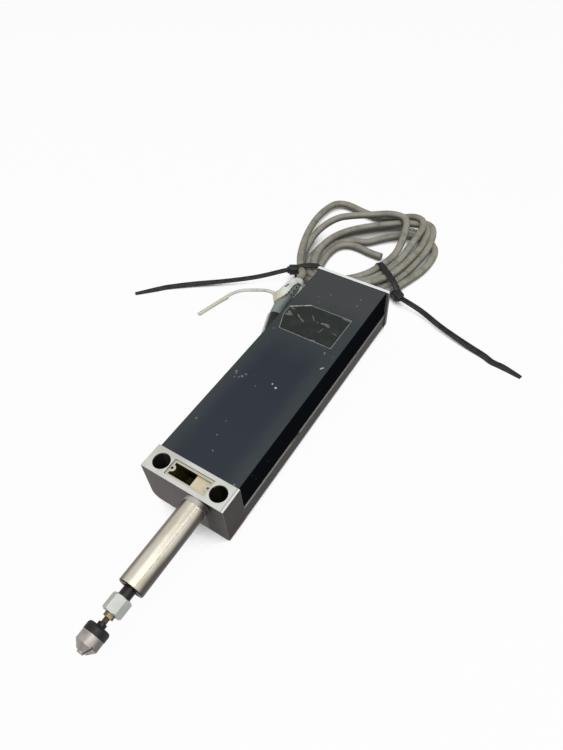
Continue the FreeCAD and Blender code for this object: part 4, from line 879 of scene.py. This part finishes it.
# Painted shade: the release slot dark inside.
natural.feed("Base Color", natural.blend(slot * 0.85, colour, SLOT_SHADE))
natural.relief(ageing - 3.0 * slot, 0.05 * MM, 0.3)
white_run = (
    # from the head, over the boot, down behind its thin end and back under it
    ((-109.4, -45.6, 24.4), (0.3, -0.45, 0.84)),
    ((-111.8, -43.3, 26.2), (0.1, -0.25, 0.96)),
    ((-114.2, -42.3, 26.9), (0, -0.1, 1)),
    ((-119.4, -42.2, 27.0), (0, 0, 1)),
    ((-125.2, -42.0, 26.7), (0, 0.1, 1)),
    ((-130.6, -40.4, 25.9), (-0.1, 0.45, 0.9)),
    ((-133.4, -37.8, 22.8), (-0.3, 0.9, 0.3)),
    ((-132.4, -37.8, 18.4), (-0.2, 0.9, -0.4)),
    ((-126.0, -39.8, 15.8), (0, 0.4, -0.9)),
    ((-117.0, -43.5, 15.2), (0, -0.1, -1)),
    ((-111.2, -46.2, 16.9), (0.2, -0.5, -0.84)),
    ((-109.0, -46.8, 20.9), (0.55, -0.8, 0.2)),
)
line = smooth_line([Vector(place) for place, flat in white_run], closed=True)
flats = smooth_line([Vector(flat) for place, flat in white_run], closed=True)
shares = [index / len(line) for index in range(len(line))]
widths = [WHITE_WIDTH + WHITE_FLARE * math.cos(2 * math.pi * share) for share in shares]
wrap = bmesh.new()
sweep_strap(wrap, line, flats, widths, WHITE_THICK, closed=True)
head_out = flats[0].normalized()
head_up = (line[2] - line[-2]).normalized()
head_side = head_up.cross(head_out).normalized()
head_layers = ((-0.9, 0.9), (-0.6, 0.2), (0.7, 0.2), (1.1, 0.9))
layered_block(wrap, line[0], head_side, head_out, head_up, WHITE_HEAD_WIDTH, WHITE_HEAD_TALL, head_layers)
add_piece("white_tie_loop", wrap, natural, "cable_tie_white")
tail = bmesh.new()
tail_points = (
    (-110.4, -46.8, 23.9), (-113.3, -51.4, 22.7), (-115.7, -59.1, 19.5), (-117.1, -69.3, 14.5),
    (-116, -83, 9), (-113, -92, 4), (-105, -97, 1.2), (-83, -103, 0.8),
)
line = smooth_line([Vector(point) for point in tail_points])
sweep_strap(tail, line, [UPWARD] * len(line), [WHITE_TAIL_WIDTH] * len(line), WHITE_THICK)
add_piece("white_tie_tail", tail, natural, "cable_tie_white")


# Floor and surround. A pale floor and a pale surround that both read white to the camera, while the
# floor keeps the soft shadow under the object.
FLOOR_PALE = (0.62, 0.62, 0.62, 1)
WHITE = (1, 1, 1, 1)
SHADOW_REACH = 40 * MM
FLOOR_WHITE = 0.95
MIRRORED = 0.6
SKY_LEVEL = 0.25
SKY_MIRRORED = 0.15
floor_mesh = bpy.data.meshes.new("floor")
floor_mesh.from_pydata([(-3, -3, 0), (3, -3, 0), (3, 3, 0), (-3, 3, 0)], [], [(0, 1, 2, 3)])
floor = bpy.data.objects.new("floor", floor_mesh)
bpy.context.scene.collection.objects.link(floor)
ground = Finish("pale_floor", Roughness=0.9, Base_Color=FLOOR_PALE, Specular_IOR_Level=0.0)
seen_rays = ("Is Camera Ray", "Is Glossy Ray", "Is Transmission Ray")
camera_ray, glossy_ray, through_ray = [ground.node("ShaderNodeLightPath", {}, {}, ray) for ray in seen_rays]
openness = ground.node("ShaderNodeAmbientOcclusion", {"samples": 16}, {"Distance": SHADOW_REACH}, "AO")
in_view = camera_ray * ground.ramp(openness, 0.40, 0.50, 0.0, FLOOR_WHITE)
seen = in_view + MIRRORED * glossy_ray + MIRRORED * through_ray
glow = ground.node("ShaderNodeEmission", {}, {"Color": WHITE, "Strength": 1.0})
lit = Field(ground, ground.shader.outputs[0])
mixed = ground.node("ShaderNodeMixShader", {}, {0: seen, 1: lit, 2: glow})
ground.tree.links.new(mixed.socket, ground.tree.nodes["Material Output"].inputs["Surface"])
floor_mesh.materials.append(ground.material)


class Surround(Finish):
    """The light all round the object, with the nodes of a finish."""

    def __init__(self, world):
        world.use_nodes = True
        self.tree = world.node_tree
        self.shader = self.tree.nodes["Background"]


world = bpy.data.worlds.new("studio")
bpy.context.scene.world = world
sky = Surround(world)
camera_ray, glossy_ray, through_ray = [sky.node("ShaderNodeLightPath", {}, {}, ray) for ray in seen_rays]
seen = camera_ray + SKY_MIRRORED * glossy_ray + MIRRORED * through_ray
sky.shader.inputs["Color"].default_value = WHITE
sky.feed("Strength", SKY_LEVEL + (1.0 - SKY_LEVEL) * seen)


# Lamps. One broad panel overhead, a weaker one on each side, and two long strips whose reflections run
# along the stem. Each is a soft box aimed at the housing or the stem.
AT_HOUSING = (20, 0, 25)
AT_STEM = (80, 10, 25)


def soft_lamp(name, place_mm, target_mm, width_mm, height_mm, power):
    """A rectangular soft box aimed at a point."""
    data = bpy.data.lights.new(name, "AREA")
    data.shape = "RECTANGLE"
    data.size = width_mm * MM
    data.size_y = height_mm * MM
    data.energy = power
    lamp = bpy.data.objects.new(name, data)
    place = Vector(place_mm) * MM
    back = (place - Vector(target_mm) * MM).normalized()
    level = (Vector((1, 0, 0)) - back * back.x).normalized()
    turned = Matrix((level, back.cross(level), back)).transposed().to_4x4()
    lamp.matrix_world = Matrix.Translation(place) @ turned
    bpy.context.scene.collection.objects.link(lamp)


soft_lamp("overhead_panel", (330, 350, 1150), (-40, -10, 0), 600, 800, 10.0)
soft_lamp("left_panel", (-60, -525, 550), AT_HOUSING, 700, 1050, 1.4)
soft_lamp("right_panel", (-94, 822, 371), AT_HOUSING, 700, 700, 0.9)
soft_lamp("long_strip", (-100, -66, 900), AT_STEM, 400, 90, 0.45)
soft_lamp("side_strip", (-94, 611, 672), AT_STEM, 400, 60, 0.8)


# Camera. It stands where the photograph was taken from, close above the front end, turned a little on
# its own axis, with the photograph's angle of view.
CAMERA_PLACE = Vector((144.7, 136.0, 299.9))
IMAGE_HEIGHT = 750
FOCAL_PIXELS = 555.5
LOOKS_ALONG = math.radians(215.6)
LOOKS_DOWN = math.radians(49.5)
ROLL = math.radians(-4.1)
camera_data = bpy.data.cameras.new("camera")
camera_data.sensor_width = 36.0
camera_data.lens = FOCAL_PIXELS * camera_data.sensor_width / IMAGE_HEIGHT
camera_data.clip_start = 0.01
camera = bpy.data.objects.new("camera", camera_data)
forward = Vector((
    math.cos(LOOKS_DOWN) * math.cos(LOOKS_ALONG),
    math.cos(LOOKS_DOWN) * math.sin(LOOKS_ALONG),
    -math.sin(LOOKS_DOWN),
))
level_right = forward.cross(UPWARD).normalized()
level_up = level_right.cross(forward)
right = math.cos(ROLL) * level_right + math.sin(ROLL) * level_up
up = math.cos(ROLL) * level_up - math.sin(ROLL) * level_right
turned = Matrix((right, up, -forward)).transposed().to_4x4()
camera.matrix_world = Matrix.Translation(CAMERA_PLACE * MM) @ turned
bpy.context.scene.collection.objects.link(camera)
bpy.context.scene.camera = camera
bpy.context.scene.view_settings.view_transform = "Standard"
